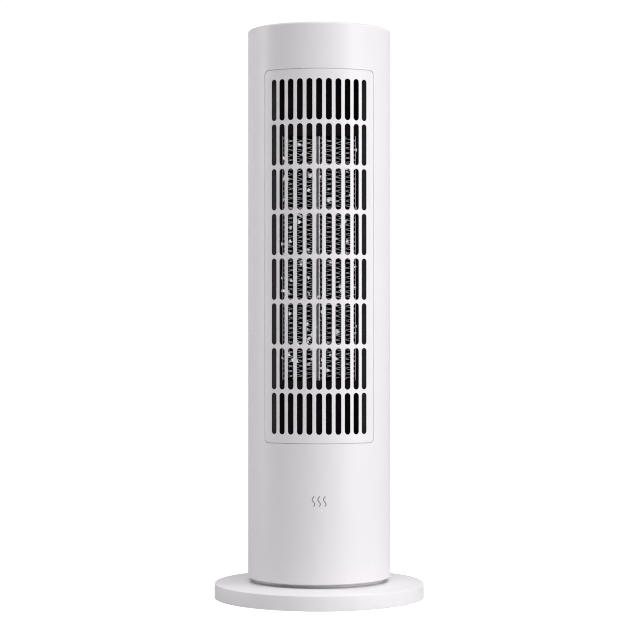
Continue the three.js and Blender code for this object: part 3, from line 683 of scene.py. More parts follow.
def plate(
    name, skin, outer, holes, slot, body, replaces,
    thick=1.6, edge=0.3, steps=3, step_u=3.0, rows=(), finish=None, draw=None,
):
    """A wall with rounded edges that lies on a skin, with holes through it.

    The holes' sides follow the skin's own normal, or the direction the mould is drawn in.
    """

    def sunk(point, normal, depth):
        if draw is None:
            return point - normal * depth
        return point - draw * (depth / max(0.5, draw.dot(normal)))

    loops = [oriented(outer, True)] + [oriented(h, False) for h in holes]
    normals = [outward(loop) for loop in loops]
    rims = [
        [(x - nx * m * edge, y - ny * m * edge) for (x, y), (nx, ny, m) in zip(loop, ns)]
        for loop, ns in zip(loops, normals)
    ]
    flat, owner, edges = [], [], []
    for index, rim in enumerate(rims):
        start, count = len(flat), len(rim)
        flat += rim
        owner += [index] * count
        edges += [(start + k, start + (k + 1) % count) for k in range(count)]
    inner = grid_inside(rims, step_u, rows, min(1.2, step_u / 2)) if rows else []
    flat += inner
    owner += [-1] * len(inner)
    result = geometry.delaunay_2d_cdt([Vector(p) for p in flat], edges, [], 0, 1e-6, True)
    triangles, source = result[2], [origin[0] for origin in result[3]]

    frames = [skin.frame(*point) for point in flat]
    verts, faces, shading = [f[0] for f in frames], [], []
    rings, ring_normals = [], []  # rings[loop][depth] is the list of that ring's vertices
    base = 0
    for loop, ns in zip(loops, normals):
        rings.append([list(range(base, base + len(loop)))])
        ring_normals.append([[frames[i][1] for i in rings[-1][0]]])
        base += len(loop)
        for k in range(1, steps + 2):
            turn = min(k, steps) / steps * math.pi / 2
            inset = edge * (1 - math.sin(turn))
            depth = edge * (1 - math.cos(turn)) if k <= steps else thick
            if k > steps and draw is not None:
                inset = DRAW_DRAFT
            ring, ring_normal = [], []
            for (x, y), (nx, ny, m) in zip(loop, ns):
                point, normal, along, up = skin.frame(x - nx * m * inset, y - ny * m * inset)
                ring.append(len(verts))
                verts.append(sunk(point, normal, depth))
                side = along * nx + up * ny
                if draw is not None:
                    side -= draw * side.dot(draw)
                side.normalize()
                ring_normal.append((normal * math.cos(turn) + side * math.sin(turn)).normalized())
            rings[-1].append(ring)
            ring_normals[-1].append(ring_normal)

    back = {}
    for loop_rings in rings:
        for front_vertex, back_vertex in zip(loop_rings[0], loop_rings[-1]):
            back[front_vertex] = back_vertex
    for i in range(len(flat) - len(inner), len(flat)):
        back[i] = len(verts)
        verts.append(sunk(frames[i][0], frames[i][1], thick))

    for triangle in triangles:
        a, b, c = (source[t] for t in triangle)
        owners = {owner[a], owner[b], owner[c]}
        if len(owners) == 1 and owners not in ({-1}, {0}):
            continue
        (ax, ay), (bx, by), (cx, cy) = flat[a], flat[b], flat[c]
        if abs((bx - ax) * (cy - ay) - (cx - ax) * (by - ay)) < 1e-7:
            continue
        faces.append([a, b, c])
        shading += [frames[a][1], frames[b][1], frames[c][1]]
        faces.append([back[c], back[b], back[a]])
        shading += [-frames[c][1], -frames[b][1], -frames[a][1]]
    for loop_rings, loop_normals in zip(rings, ring_normals):
        for k in range(len(loop_rings) - 1):
            near, far = loop_rings[k], loop_rings[k + 1]
            near_n, far_n = loop_normals[k], loop_normals[k + 1]
            for i in range(len(near)):
                j = (i + 1) % len(near)
                faces.append([near[i], far[i], far[j], near[j]])
                shading += [near_n[i], far_n[i], far_n[j], near_n[j]]
    return make(name, verts, faces, slot, body, replaces, corner_normals=shading, finish=finish)


# ---------------------------------------------------------------- tower
def on_skin(x):
    """How far round the tower a point is that stands x mm to the side."""
    return TOWER_R * math.asin(x / TOWER_R)


SHELL_THICK = 0.9
UPRIGHT_ROWS = range(30, 515, 12)
SHELL_PROFILE = [
    (TOWER_R - 1.6, TOWER_BOTTOM),
    (TOWER_R, TOWER_BOTTOM, 1.3),
    (TOWER_R, TOWER_TOP, 2.0),
    (CAP_R + 0.35, TOWER_TOP),
]
FRONT = TowerSkin(SHELL_PROFILE)
REAR = TowerSkin(SHELL_PROFILE, 180)


def shell_rows(skin):
    """Rows of points: close together over the rolled rims, wide apart up the straight wall."""
    upright = [skin.v_at(z) for z in UPRIGHT_ROWS]
    rims = [v for v in skin.rows if v < skin.v_at(24) or v > skin.v_at(516)]
    return sorted({round(v, 3) for v in upright + rims})


def shell(name, skin, holes, replaces):
    """One half of the tower's shell, from seam to seam."""
    half = TOWER_R * math.radians(SEAM_DEG if skin is FRONT else 180 - SEAM_DEG) - 0.12
    upright = [skin.v_at(z) for z in UPRIGHT_ROWS]
    steps_up = sorted({round(v, 3) for v in skin.rows + upright})
    steps_up = [v for v in steps_up if 0.15 < v < skin.rows[-1] - 0.15]
    across = [-half + 2 * half * k / 80 for k in range(81)]
    outline = [(u, 0.0) for u in across]
    outline += [(half, v) for v in steps_up]
    outline += [(u, skin.rows[-1]) for u in reversed(across)]
    outline += [(-half, v) for v in reversed(steps_up)]
    return plate(
        name, skin, outline, holes, "tower_white", "tower", replaces,
        thick=SHELL_THICK, edge=0.12, steps=2, step_u=2 * half / 80, rows=shell_rows(skin),
    )


def tower_front():
    low, high = FRONT.v_at(GRILLE_BOTTOM - GROOVE), FRONT.v_at(GRILLE_TOP + GROOVE)
    window = rounded_rect(on_skin(GRILLE_HALF_WIDTH + GROOVE), low, high, GRILLE_CORNER_R + GROOVE)
    shell("tower_front_shell", FRONT, [window], ["front_shell"])


def tower_rear():
    """The rear shell with its holes, and the wells that the shell screws stand in."""
    low, high = REAR.v_at(INLET_BOTTOM - 0.4), REAR.v_at(INLET_TOP + 0.4)
    half_width, handle_low, handle_high = HANDLE
    holes = [
        rounded_rect(on_skin(INLET_HALF_WIDTH + 0.4), low, high, GRILLE_CORNER_R),
        rounded_rect(on_skin(half_width), REAR.v_at(handle_low), REAR.v_at(handle_high), 5),
        circle(0, REAR.v_at(GLAND_Z), 6.5),
    ]
    for side in (-1, 1):
        for z in SCREW_HEIGHTS:
            holes.append(circle(side * on_skin(SCREW_X), REAR.v_at(z), 4.2, 28))
    shell("tower_rear_shell", REAR, holes, ["rear_shell"])
    wells = []
    for side in (-1, 1):
        for z in SCREW_HEIGHTS:
            place = towards_back(side * SCREW_X, z)
            bore = fillet([(3.2, 41.2), (3.2, 26.0, 0.3), (1.7, 26.0)], 3)
            outside = [(1.7, 24.6), (4.6, 24.6), (4.6, 41.2)]
            wells.append(lathe(bore + outside, 32, closed=True, place=place))
    make("screw_wells", *joined(*wells), "tower_white", "tower")


def slot_loops(skin, columns, rows, pitch_deg, width, length, first, row_pitch):
    loops = []
    for column in range(columns):
        u = TOWER_R * math.radians((column - (columns - 1) / 2) * pitch_deg)
        for row in range(rows):
            low = skin.v_at(first + row * row_pitch)
            loops.append(slot_outline(u, width, low, low + length))
    return loops


def panel_ledge():
    """The step in the shell that the outlet panel's rim lies on."""
    r = TOWER_R - 1.0
    low, high = GRILLE_BOTTOM, GRILLE_TOP
    skin = TowerSkin([(r, 0), (r, TOWER_TOP)])
    outer = rounded_rect(on_skin(GRILLE_HALF_WIDTH + 2.2), low - 2.2, high + 2.2, GRILLE_CORNER_R + 2.2)
    inner = rounded_rect(on_skin(GRILLE_HALF_WIDTH - 1.6), low + 1.6, high - 1.6, 2.2)
    plate("panel_ledge", skin, outer, [inner], "tower_white", "tower", [], thick=1.0, edge=0.2)


def slotted_panel(name, skin, half_width, ends, margins, slots, replaces, **finish):
    """A panel between two heights, with rows of points across its plain ends and up its ribs."""
    low, high = (skin.v_at(z) for z in ends)
    outline = rounded_rect(on_skin(half_width), low, high, GRILLE_CORNER_R)
    rows = [low + m for m in margins] + [high - m for m in reversed(margins)]
    rows += list(np.arange(low + 12, high - 10, 6))
    holes = slot_loops(skin, **slots)
    plate(name, skin, outline, holes, "tower_white", "tower", replaces, rows=rows, **finish)


def panels():
    slotted_panel(
        "outlet_panel", FRONT, GRILLE_HALF_WIDTH, (GRILLE_BOTTOM, GRILLE_TOP), (3, 5.6), OUTLET_SLOTS,
        ["front_grille"], thick=1.0, edge=0.22, step_u=2.86, draw=Vector((0, -1, 0)),
    )
    slotted_panel(
        "inlet_panel", REAR, INLET_HALF_WIDTH, (INLET_BOTTOM, INLET_TOP), (2.5,), INLET_SLOTS,
        ["rear_grille"], thick=1.6, edge=0.35, step_u=2.14,
    )


def dust_net():
    """The cloth of the dust screen: crossed threads behind the inlet panel."""
    r, thread, pitch = 61.2, 0.28, 1.9
    half_deg, low, high = 33.0, INLET_BOTTOM + 1, INLET_TOP - 1
    strips = []
    columns = int(2 * half_deg / math.degrees(pitch / r))
    for k in range(columns + 1):
        a = math.radians(-half_deg + 2 * half_deg * k / columns)
        place = Matrix.Rotation(math.pi + a, 4, "Z") @ Matrix.Translation((0, -r, 0))
        strips.append(prism(rectangle(thread / 2, 0.1), low, high, place))
    for k in range(int((high - low) / pitch) + 1):
        z = low + pitch * k
        arc = [math.radians(90 - half_deg + 2 * half_deg * i / 20) for i in range(21)]
        outline = [polar(r - 0.2, a) for a in arc] + [polar(r - 0.5, a) for a in reversed(arc)]
        strips.append(prism(outline, z - thread / 2, z + thread / 2))
    make("dust_net", *joined(*strips), "black_plastic", "tower", finish="net_black", sharp_deg=50)


def handle_cup():
    """The finger recess: rings of a rounded rectangle from the tower's skin down to a coved floor."""
    half_width, low, high = HANDLE
    middle, half_height = (low + high) / 2, (high - low) / 2
    mouth = rounded_rect(half_width, -half_height, half_height, 5, step_x=3, step_y=6)

    def ring(inset, depth_y=None):
        points = []
        for u, v in mouth:
            x = u * (half_width - inset) / half_width
            z = middle + v * (half_height - inset) / half_height
            y = math.sqrt((TOWER_R - 0.5) ** 2 - x * x) if depth_y is None else depth_y
            points.append(Vector((x, y, z)))
        return points

    rings = [ring(0.5, 43), ring(0.5), ring(1.0), ring(2.0, 49)]
    rings += [ring(2.0 + 3 * (1 - math.cos(a)), 47.5 - 3 * math.sin(a)) for a in np.linspace(0.1, 1.5, 6)]
    verts, faces = lofted(rings)
    faces = faces[:-2]
    count = len(mouth)
    for k, y in ((0, 43), (len(rings) - 1, 44.4)):
        centre = len(verts)
        verts.append(Vector((0, y, middle)))
        faces += [[centre, k * count + i, k * count + (i + 1) % count] for i in range(count)]
    make("handle_recess", verts, faces, "tower_white", "tower", ["handle_cup"])


def cord_gland():
    """The rubber gland: a sleeve in the shell with a rounded collar outside."""
    bore, inner_end = 3.7, 56
    sleeve = [(6.1, inner_end), (6.1, 65.6, 0.2)]
    collar = [(8.2, 66.2, 0.5), (7.2, 69.3, 0.7), (bore, 69.3, 0.8)]
    profile = fillet([(bore, inner_end), *sleeve, *collar, (bore, inner_end)], 4)[:-1]
    shape = lathe(profile, 48, closed=True, place=towards_back(0, GLAND_Z))
    make("cord_grommet", *shape, "grey_rubber", "tower", ["cord_gland"])


def heat_mark():
    """A small printed mark of rising warm air, of no maker."""
    shapes = []
    for x in (-5.0, 0.0, 5.0):
        points = [(x + 1.1 * math.sin(t * TAU * 1.1), 89 + 9 * t) for t in np.linspace(0, 1, 25)]
        shapes.append(stroke(points, 0.9, lambda u, z: FRONT.frame(u, FRONT.v_at(z)), 0.03))
    make("heat_mark", *joined(*shapes), "tower_white", "tower", finish="print_grey")


def stroke(points, width, frame_at, height):
    """A printed line: a thin strip along points on a skin."""
    rings = []
    for i, (x, y) in enumerate(points):
        across = sideways(points, i) * width / 2
        ring = []
        for side, level in ((-1, -0.15), (1, -0.15), (1, height), (-1, height)):
            point, normal = frame_at(x + side * across.x, y + side * across.y)[:2]
            ring.append(point + normal * level)
        rings.append(ring)
    return lofted(rings)


# ---------------------------------------------------------------- control panel
BUTTONS = {
    "minus_button": (-36, 5.6),
    "mode_button": (-19, 5.6),
    "power_button": (0, 7.2),
    "swing_button": (19, 5.6),
    "plus_button": (36, 5.6),
}


def arc_points(x, y, r, start_deg, end_deg, count=20):
    angles = [math.radians(start_deg + (end_deg - start_deg) * k / count) for k in range(count + 1)]
    return [polar(r, a, x, y) for a in angles]


def button_marks(name, x):
    y = BUTTON_Y
    if name == "power_button":
        return [arc_points(x, y, 2.6, 130, 410), [(x, y + 0.6), (x, y + 3.4)]]
    if name == "minus_button":
        return [[(x - 2.2, y), (x + 2.2, y)]]
    if name == "plus_button":
        return [[(x - 2.2, y), (x + 2.2, y)], [(x, y - 2.2), (x, y + 2.2)]]
    if name == "mode_button":
        return [
            [(x + dx + 0.5 * math.sin(t * TAU), y - 2.1 + 4.2 * t) for t in np.linspace(0, 1, 16)]
            for dx in (-1.7, 0, 1.7)
        ]
    swing = arc_points(x, y - 1.6, 3.0, 30, 150)
    left, right = swing[-1], swing[0]
    return [
        swing,
        [(left[0] + 1.6, left[1] - 0.2), left, (left[0] + 0.1, left[1] + 1.6)],
        [(right[0] - 1.6, right[1] - 0.2), right, (right[0] - 0.1, right[1] + 1.6)],
    ]


def top_cap():
    skin = FlatSkin((0, 0, CAP_TOP), (1, 0, 0), (0, 1, 0))
    holes = [circle(x, BUTTON_Y, r + 0.35, 40) for x, r in BUTTONS.values()]
    holes.append(rounded_rect(19.3, 10.7, 25.3, 3, step_y=3))
    plate(
        "control_cap", skin, circle(0, 0, CAP_R, 128), holes, "tower_white", "tower", ["top_cap"],
        thick=2.6, edge=0.35, step_u=6, rows=range(-54, 60, 6),
    )


def buttons():
    """Dished push buttons with their printed marks."""
    level = 519.0
    for name, (x, r) in BUTTONS.items():
        dish = [(r * 0.78 * k / 6, level - 0.55 + 0.42 * (k / 6) ** 2) for k in range(7)]
        rim = [(r * 0.78, level - 0.13), (r - 0.1, level, 0.5), (r - 0.05, level - 2, 0.1), (r, 513.9)]
        rim = fillet(rim, 5)
        foot = [(r + 1.3, 513.9), (r + 1.3, 512.6), (0, 512.6)]
        place = Matrix.Translation((x, BUTTON_Y, 0))
        make(f"{name}_cap", *lathe(dish + rim[1:] + foot, 56, place=place), "button_white", name, [name])

        def printed(u, v, x=x, r=r):
            out = math.hypot(u - x, v - BUTTON_Y)
            height = level - 0.55 + 0.42 * min(1.0, out / (0.78 * r)) ** 2
            return Vector((u, v, height)), Vector((0, 0, 1))

        marks = [stroke(line, 0.7, printed, 0.02) for line in button_marks(name, x)]
        make(f"{name}_mark", *joined(*marks), "button_white", name, finish="print_grey", sharp_deg=60)


def display():
    skin = FlatSkin((0, 0, CAP_TOP - 0.2), (1, 0, 0), (0, 1, 0))
    outline = rounded_rect(19, 11, 25, 2.8, step_y=3)
    plate(
        "display_glass", skin, outline, [], "dark_lens", "tower", ["display_window"],
        thick=4.0, edge=0.3, step_u=6, rows=(15, 21),
    )


# ---------------------------------------------------------------- heating element
FOLD = [(0.9, -0.5), (0.22, -0.34), (0.0, 0.0), (0.22, 0.34), (0.9, 0.5)]  # back from the nose, up


def fin_path(x0, x1, wander):
    """A sheet folded to and fro between x0 and x1, its folds rounded and never quite regular."""
    low, high = HEATER_Z
    folds = int((high - low - 2) / FIN_PITCH) * 2
    foot = (low + high - folds * FIN_PITCH / 2) / 2
    points = []
    for i in range(folds + 1):
        z = foot + i * FIN_PITCH / 2 + wander.uniform(-0.25, 0.25)
        side = 1 if i % 2 else -1
        x = (x1 if side > 0 else x0) - side * (0.4 + abs(wander.gauss(0, 0.16)))
        points += [(x - side * back, z + rise) for back, rise in FOLD]
        if i < folds:
            x_next = (x0 if side > 0 else x1) + side * 0.4
            for t in (0.3, 0.5, 0.7):
                sway = wander.uniform(-0.12, 0.12)
                points.append((x + (x_next - x) * t, z + FIN_PITCH / 2 * t + sway))
    return points


def dents(wander, count):
    """Places where the sheet's front edge has been knocked over: (x, z, radius, lean)."""
    low, high = HEATER_Z
    return [
        (
            wander.uniform(-34, 34),
            wander.uniform(low + 8, high - 4),
            wander.uniform(0.9, 2.0),
            wander.choice((-1, 1, 1)) * wander.uniform(1.2, 2.2),
        )
        for _ in range(count)
    ]


def fin_sheet_mesh(x0, x1, wander, knocks):
    """One folded sheet. Where it has been knocked, its front edge lies folded flat, up or down."""
    path = fin_path(x0, x1, wander)
    front, back = HEATER_Y
    half = 0.5 * FIN_SHEET
    rings = []
    for i, (x, z) in enumerate(path):
        across = sideways(path, i)
        lean = 0.0
        for kx, kz, r, amount in knocks:
            lean += amount * math.exp(-((x - kx) ** 2 + (z - kz) ** 2) / r**2)
        bent = min(1.0, abs(lean))
        nose = front + wander.uniform(0, 0.25) * (1 - bent)
        layers = [
            (nose + 0.04 * abs(lean), lean, 0.35 * FIN_BEAD),
            (nose + 0.12 * (1 - bent), 0.45 * lean, 0.5 * FIN_BEAD * (1 - bent) + half * bent),
            (nose + 0.8 - 0.6 * bent, 0.0, half),
            (nose + 3.0, 0.0, half),
            (back, 0.0, half),
        ]
        ring = []
        for side, order in ((-1, layers), (1, layers[::-1])):
            ahead = 0.07 * bent * (1 if side * across.y * lean > 0 else -1)
            for y, shift, thick in order:
                step = ahead if shift else 0.0
                off = side * thick * across
                ring.append(Vector((x + off.x, y + step, z + off.y + shift)))
        rings.append(ring)
    return lofted(rings)


def fin_pack(name, spans, replaces, seed, knocks):
    """The folded sheets side by side in one pack."""
    wander = random.Random(seed)
    sheets = [fin_sheet_mesh(x0, x1, wander, knocks) for x0, x1 in spans]
    make(name, *joined(*sheets), "aluminium", "tower", replaces, sharp_deg=50, finish="fin_sheet")


def crushed_folds(knocks):
    """The crumpled bits of sheet left at the front where the fins were knocked: small dished flakes."""
    wander = random.Random(21)
    front, thick, spokes = HEATER_Y[0] - 0.25, 0.12, 10
    flakes = []
    for x, z, r, _ in knocks:
        if abs(x - 0.3) < 1.6:
            continue
        turn, wide = wander.uniform(0, TAU), r * wander.uniform(0.55, 1.1)
        c, s = math.cos(turn), math.sin(turn)
        tall = wide * wander.uniform(0.6, 1.6)
        tilt_x, tilt_z = wander.gauss(0, 0.025), wander.gauss(0, 0.10)
        plan = [(0.0, 0.0)]
        for share in (0.55, 1.0):
            for k in range(spokes):
                a = TAU * k / spokes
                reach = share * (1 + wander.uniform(-0.3, 0.3) * share)
                u, v = wide * reach * math.cos(a), tall * reach * math.sin(a)
                plan.append((u * c - v * s, u * s + v * c))
        verts = []
        for behind in (0.0, thick):
            for u, v in plan:
                dish = 0.012 * (u * u + v * v) + tilt_x * u + tilt_z * v
                verts.append(Vector((x + u, front + dish + behind, z + v)))
        faces = []
        count = len(plan)
        for k in range(spokes):
            near, far = 1 + k, 1 + (k + 1) % spokes
            for base, flip in ((0, False), (count, True)):
                fan = [base, base + near, base + far]
                band = [base + near, base + near + spokes, base + far + spokes, base + far]
                faces += [fan[::-1], band[::-1]] if flip else [fan, band]
            rim_a, rim_b = near + spokes, far + spokes
            faces.append([rim_a, count + rim_a, count + rim_b, rim_b])
        flakes.append((verts, faces))
    make("fin_flakes", *joined(*flakes), "aluminium", "tower", [], sharp_deg=60, finish="fin_flake")


def bar(name, x0, x1, y0, replaces, r=0.35, finish="aluminium"):
    """An upright flat bar with rolled edges, from y0 to the element's back."""
    y1 = HEATER_Y[1]
    middle_x, middle_y = (x0 + x1) / 2, (y0 + y1) / 2
    section = rounded_rect((x1 - x0) / 2, -(y1 - y0) / 2, (y1 - y0) / 2, r, arc=4, step_x=50, step_y=50)
    outline = [(x + middle_x, y + middle_y) for x, y in section]
    make(name, *prism(outline, *HEATER_Z), "aluminium", "tower", replaces, finish=finish)


def outlet_duct():
    """The black duct behind the panel: a flange, four walls and the back with the blower's throat."""
    mouth = rounded_rect(36.6, 150, 472, 2)
    throat = rounded_rect(36.5, 192, 431, 2)
    flange = rounded_rect(44, 146.5, 475.5, 3)
    box = rounded_rect(38.6, 148, 474, 3)
    # painted shade: the walls and back take the darker black, the flange the plain black
    for name, y, outer, hole, replaces, thick, edge, finish in (
        ("duct_flange", -43.6, flange, mouth, ["outlet_duct"], 2, 0.4, None),
        ("duct_walls", -41.6, box, mouth, [], 21.1, 0.1, "black_painted_shade"),
        ("duct_back", -20.5, box, throat, [], 2, 0.1, "black_painted_shade"),
    ):
        skin = FlatSkin((0, y, 0), (1, 0, 0), (0, 0, 1))
        plate(
            name, skin, outer, [hole], "black_plastic", "tower", replaces,
            thick=thick, edge=edge, finish=finish,
        )


def heating_element():
    """Fin packs, the bars between them and the black frame round them."""
    front = HEATER_Y[0]
    bar("electrode_bar", -0.15, 0.85, front - 1, ["ptc_centre_bar"])
    # painted shade: the contact strip and the plates on the left get the darker aluminium, the lit right
    # side plate the bright fin sheet
    bar("contact_strip", -1.5, -0.15, front - 0.2, [], finish="dull_aluminium_painted_shade")
    bar("fin_side_plate_c", -2.9, -2.2, front - 0.3, [], r=0.2, finish="dull_aluminium_painted_shade")
    bar("ptc_tube_l", -14.6, -11.6, front, ["ptc_tube_left"], r=1.2)
    bar("ptc_tube_r", 11.6, 14.6, front, ["ptc_tube_right"], r=1.2)
    for name, x in (("l", -23.3), ("r", 23.3)):
        bar(f"fin_divider_{name}", x - 0.2, x + 0.2, front, [], r=0.15, finish="fin_sheet")
    bar("fin_side_plate_l", -33.1, -32.5, front - 0.4, [], r=0.25, finish="dull_aluminium_painted_shade")
    bar("fin_side_plate_r", 32.5, 33.1, front - 0.4, [], r=0.25, finish="fin_sheet")
    knocks = dents(random.Random(5), 110)
    crushed_folds(knocks)
    fin_pack("fins_l_inner", [(-11.6, -2.9)], ["heat_fins_left_inner"], 11, knocks)
    fin_pack("fins_r_inner", [(0.9, 11.6)], ["heat_fins_right_inner"], 12, knocks)
    fin_pack("fins_l_outer", [(-32.5, -23.5), (-23.1, -14.6)], ["heat_fins_left_outer"], 13, knocks)
    fin_pack("fins_r_outer", [(14.6, 23.1), (23.5, 32.5)], ["heat_fins_right_outer"], 14, knocks)
    skin = FlatSkin((0, front - 1.5, 0), (1, 0, 0), (0, 0, 1))
    low, high = HEATER_Z
    opening = rounded_rect(34, low - 0.3, high + 0.3, 1)
    # painted shade: the frame takes the darker black
    plate(
        "element_frame", skin, rounded_rect(36.2, 190.5, 432.5, 2), [opening],
        "black_plastic", "tower", ["ptc_frame"], thick=18, edge=0.4, finish="black_painted_shade",
    )


# ---------------------------------------------------------------- blower
def fan_wheel():
    """End and middle discs, curved blades and the hub, on their shaft."""
    sections, blades = 5, 34
    low, high = 189.0, 431.0
    disc, bore = 1.5, 3.3
    place = Matrix.Translation((0, FAN_Y, 0))
    shapes = []
    levels = [low + (high - low - disc) * k / sections for k in range(sections + 1)]
    for z in levels:
        inner = bore if z in (levels[0], levels[-1]) else 20.5
        ring = [(inner, z), (FAN_R, z), (FAN_R, z + disc), (inner, z + disc)]
        shapes.append(lathe(ring, 68, closed=True, place=place))
    for k in range(blades):
        middle = []
        for t in np.linspace(0, 1, 6):
            r = 20.9 + (FAN_R - 21.3) * t
            a = TAU * k / blades + 0.16 * t + 0.10 * math.sin(math.pi * t)
            middle.append(polar(r, a))
        shapes.append(prism(thickened(middle, 0.75), low + 0.4, high - 0.4, place))
    hub = fillet([(bore, low), (8, low), (8, low + 12, 1), (bore, low + 12), (bore, low)], 3)[:-1]
    shapes.append(lathe(hub, 36, closed=True, place=place))
    make("blower_wheel", *joined(*shapes), "fan_grey", "rotor", ["fan_wheel"], sharp_deg=40)
    shaft = fillet([(0, 140), (3, 140, 0.5), (3, 440, 0.5), (0, 440)], 4)
    make("blower_shaft", *lathe(shaft, 36, place=place), "steel", "rotor", ["fan_shaft"])


def blower_walls():
    """The spiral wall and the tongue beside the wheel, and the motor under it."""
    low, high = 186.8, 436.7
    growth, start = 0.318, 32.0
    spiral = []
    for k in range(37):
        degrees = 50 - 95 * k / 36
        r = start * math.exp(growth * math.radians(50 - degrees))
        spiral.append(polar(r, math.radians(degrees), 0, FAN_Y))
    tongue = fillet([(-37.6, -17), (-31.5, -3, 6), (-28, 5, 3), (-31, 9, 3), (-38, 12)], 5)
    for name, line, node in (("scroll_wall", spiral, "fan_scroll"), ("tongue_wall", tongue, "fan_tongue")):
        make(name, *prism(thickened(line, 2), low, high), "black_plastic", "tower", [node])
    boss = [(3.4, 144), (11, 144, 1), (11, 150, 0.5)]
    can = [(25.8, 150, 3), (25.8, 178, 3)]
    nose = [(12, 178, 0.5), (12, 183.7), (3.4, 183.7)]
    place = Matrix.Translation((0, FAN_Y, 0))
    shape = lathe(fillet(boss + can + nose, 4), 64, closed=True, place=place)
    make("motor_can", *shape, "motor_case", "tower", ["fan_motor"])


# ---------------------------------------------------------------- base
BASE_SCREWS = [polar(39, math.radians(a)) for a in (30, 150, 270)]


def base_cover():
    """The base's shell: rim, slightly domed top and the neck that the tower stands over."""
    outline = [
        (BASE_R - 2.5, BASE_BOTTOM),
        (BASE_R, BASE_BOTTOM, 0.3),
        (BASE_R, BASE_RIM_TOP, 0.9),
        (NECK_R, BASE_CROWN, 0.8),
        (NECK_R, NECK_TOP, 0.6),
        (27.2, NECK_TOP, 0.4),
        (27.2, NECK_TOP - 2.2),
        (NECK_R - 2.5, NECK_TOP - 2.2),
        (NECK_R - 2.5, BASE_CROWN - 2.3),
        (BASE_R - 2.5, BASE_RIM_TOP - 2.3),
    ]
    shape = lathe(fillet(outline, 7), 192, closed=True)
    make("base_shell", *shape, "base_white", "base", ["base_cover"])


def base_underside():
    """The base plate with its rings and screw wells, and the four rubber pads."""
    skin = FlatSkin((0, 0, 1.8), (1, 0, 0), (0, -1, 0))
    holes = [circle(x, -y, 3.4, 28) for x, y in BASE_SCREWS]
    holes.append(circle(0, -39, 4.5, 32))
    plate(
        "base_bottom", skin, circle(0, 0, BASE_R - 3.1, 160), holes, "base_white", "base", ["base_plate"],
        thick=2.0, edge=0.4, step_u=8, rows=range(-88, 90, 8),
    )
    rings = []
    for r in (22.0, 52.0, 66.0):
        rib = fillet([(r, 1.95), (r, 1.25, 0.3), (r + 1.2, 1.25, 0.3), (r + 1.2, 1.95)], 3)
        rings.append(lathe(rib, 128, closed=True))
    inside = [(3.4, 1.9), (3.4, 1.6), (3.35, 1.6), (3.35, 3.6), (1.8, 3.6)]
    outside = [(1.8, 4.0), (3.9, 4.0), (3.9, 1.9)]
    for x, y in BASE_SCREWS:
        place = Matrix.Translation((x, y, 0))
        rings.append(lathe(inside + outside, 28, closed=True, place=place))
    make("base_bottom_ribs", *joined(*rings), "base_white", "base")
    pad = fillet([(0, 0.35), (4.6, 0.35), (5.0, 0.0, 0.2), (7.9, 0.0, 0.5), (7.9, 1.75), (0, 1.75)], 4)
    for k, degrees in enumerate((45, 135, 225, 315), 1):
        shape = lathe(pad, 48, place=Matrix.Translation((*polar(80, math.radians(degrees)), 0)))
        make(f"pad_{k}", *shape, "grey_rubber", "base", [f"foot_pad_{k}"])


def carved(piece, cutters):
    """Cuts shapes out of a piece for good."""
    tools = []
    for verts, faces in cutters:
        tool = add_object("cutter", mesh_in_mm("cutter", verts, faces))
        tools.append(tool)
        cut = piece.modifiers.new("cut", "BOOLEAN")
        cut.operation, cut.object, cut.solver = "DIFFERENCE", tool, "EXACT"
    graph = bpy.context.evaluated_depsgraph_get()
    result = bpy.data.meshes.new_from_object(piece.evaluated_get(graph))
    piece.modifiers.clear()
    piece.data = result
    piece.data.set_sharp_from_angle(angle=math.radians(32))
    for tool in tools:
        bpy.data.objects.remove(tool)


def screw(name, place, profile, recess, turn_deg, body, node):
    """A screw along Z of place, with a cross recess between two heights, turned by turn_deg."""
    piece = make(name, *lathe(profile, 32, place=place), "steel", body, [node])
    turns = [place @ Matrix.Rotation(math.radians(a), 4, "Z") for a in (turn_deg, turn_deg + 90)]
    carved(piece, [prism(rectangle(1.7, 0.35), *recess, turn) for turn in turns])


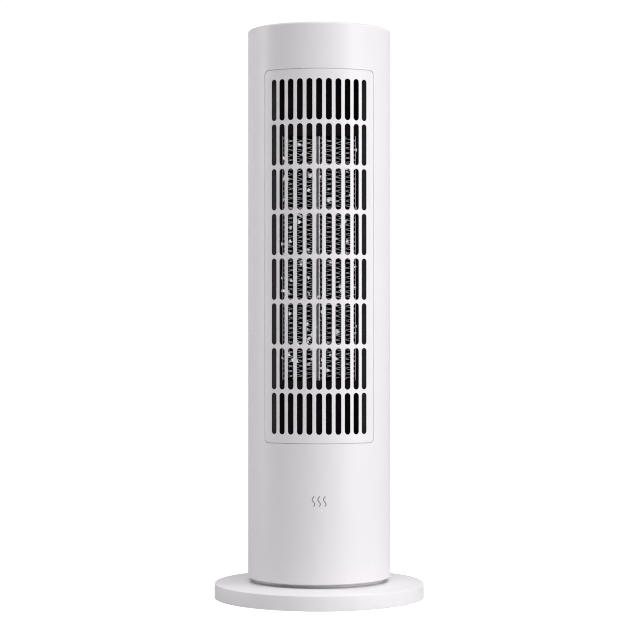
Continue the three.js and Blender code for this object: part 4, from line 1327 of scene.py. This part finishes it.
def screws():
    profile = fillet([(0, 0.45), (3, 0.6, 0.5), (3, 1.5), (1.4, 1.5), (1.4, 12), (0, 12.6)], 4)
    for k, (x, y) in enumerate(BASE_SCREWS, 1):
        place = Matrix.Translation((x, y, 0))
        screw(f"base_screw_{k}_head", place, profile, (-1, 1.15), 20, "base", f"base_screw_{k}")
    profile = fillet([(0, 7), (1.4, 7.6), (1.4, 26.3), (3, 26.3, 0.2), (2.9, 28.0, 0.7), (0, 28.6)], 4)
    places = [towards_back(side * SCREW_X, z) for z in SCREW_HEIGHTS for side in (-1, 1)]
    for k, place in enumerate(places, 1):
        screw(f"shell_screw_{k}_body", place, profile, (27.4, 30), 35, "tower", f"shell_screw_{k}")


def plunger():
    """The tip-over switch's pin, with its collar."""
    pin, collar = [(0, 0), (4, 0, 1.2), (4, 8.3)], [(5.3, 8.3), (5.3, 9.6), (4, 9.6)]
    profile = fillet(pin + collar + [(4, 11.6, 0.4), (0, 11.6)], 5)
    place = Matrix.Translation((0, 39, 0))
    shape = lathe(profile, 40, place=place)
    make("tip_switch_plunger", *shape, "nylon", "tip_plunger", ["tip_plunger"])


def carried_over():
    """Every CAD node that still shows gets the finish of its slot."""
    slots = {entry["node"]: entry["material_slot"] for entry in frame["record"]["subparts"]}
    for node, piece in frame["nodes"].items():
        piece.data.materials.clear()
        piece.data.materials.append(MATERIALS[slots[node]])


def make_floor():
    """A pale sweep, as white to the eye as the room behind it, but no brighter a lamp than paper."""
    corners = [(x * FLOOR_SIZE, y * FLOOR_SIZE, 0) for x, y in ((-1, -1), (1, -1), (1, 1), (-1, 1))]
    mesh = bpy.data.meshes.new("floor")
    mesh.from_pydata(corners, [], [[0, 1, 2, 3]])
    n = Nodes("floor_white")
    paper = n.blend(n.span(n.noise(400, 2), 0, 1), (0.64, 0.64, 0.64), (0.66, 0.66, 0.66))
    seen = n.add("ShaderNodeLightPath", "Is Camera Ray")
    mesh.materials.append(
        n.set(
            Base_Color=paper,
            Roughness=0.85,
            Emission_Color=(1, 1, 1, 1),
            Emission_Strength=n.span(seen, 0, FLOOR_GLOW, 0, 1),
        )
    )
    floor = add_object("floor", mesh)
    floor.location.z = -0.0001


# ---------------------------------------------------------------- build
bpy.context.scene.view_settings.view_transform = "Standard"
bpy.context.scene.cycles.filter_width = 1.0
make_camera()
make_lights()
make_world()
make_floor()

carried_over()
tower_front()
tower_rear()
panel_ledge()
panels()
dust_net()
handle_cup()
cord_gland()
heat_mark()
top_cap()
buttons()
display()
outlet_duct()
heating_element()
fan_wheel()
blower_walls()
base_cover()
base_underside()
screws()
plunger()
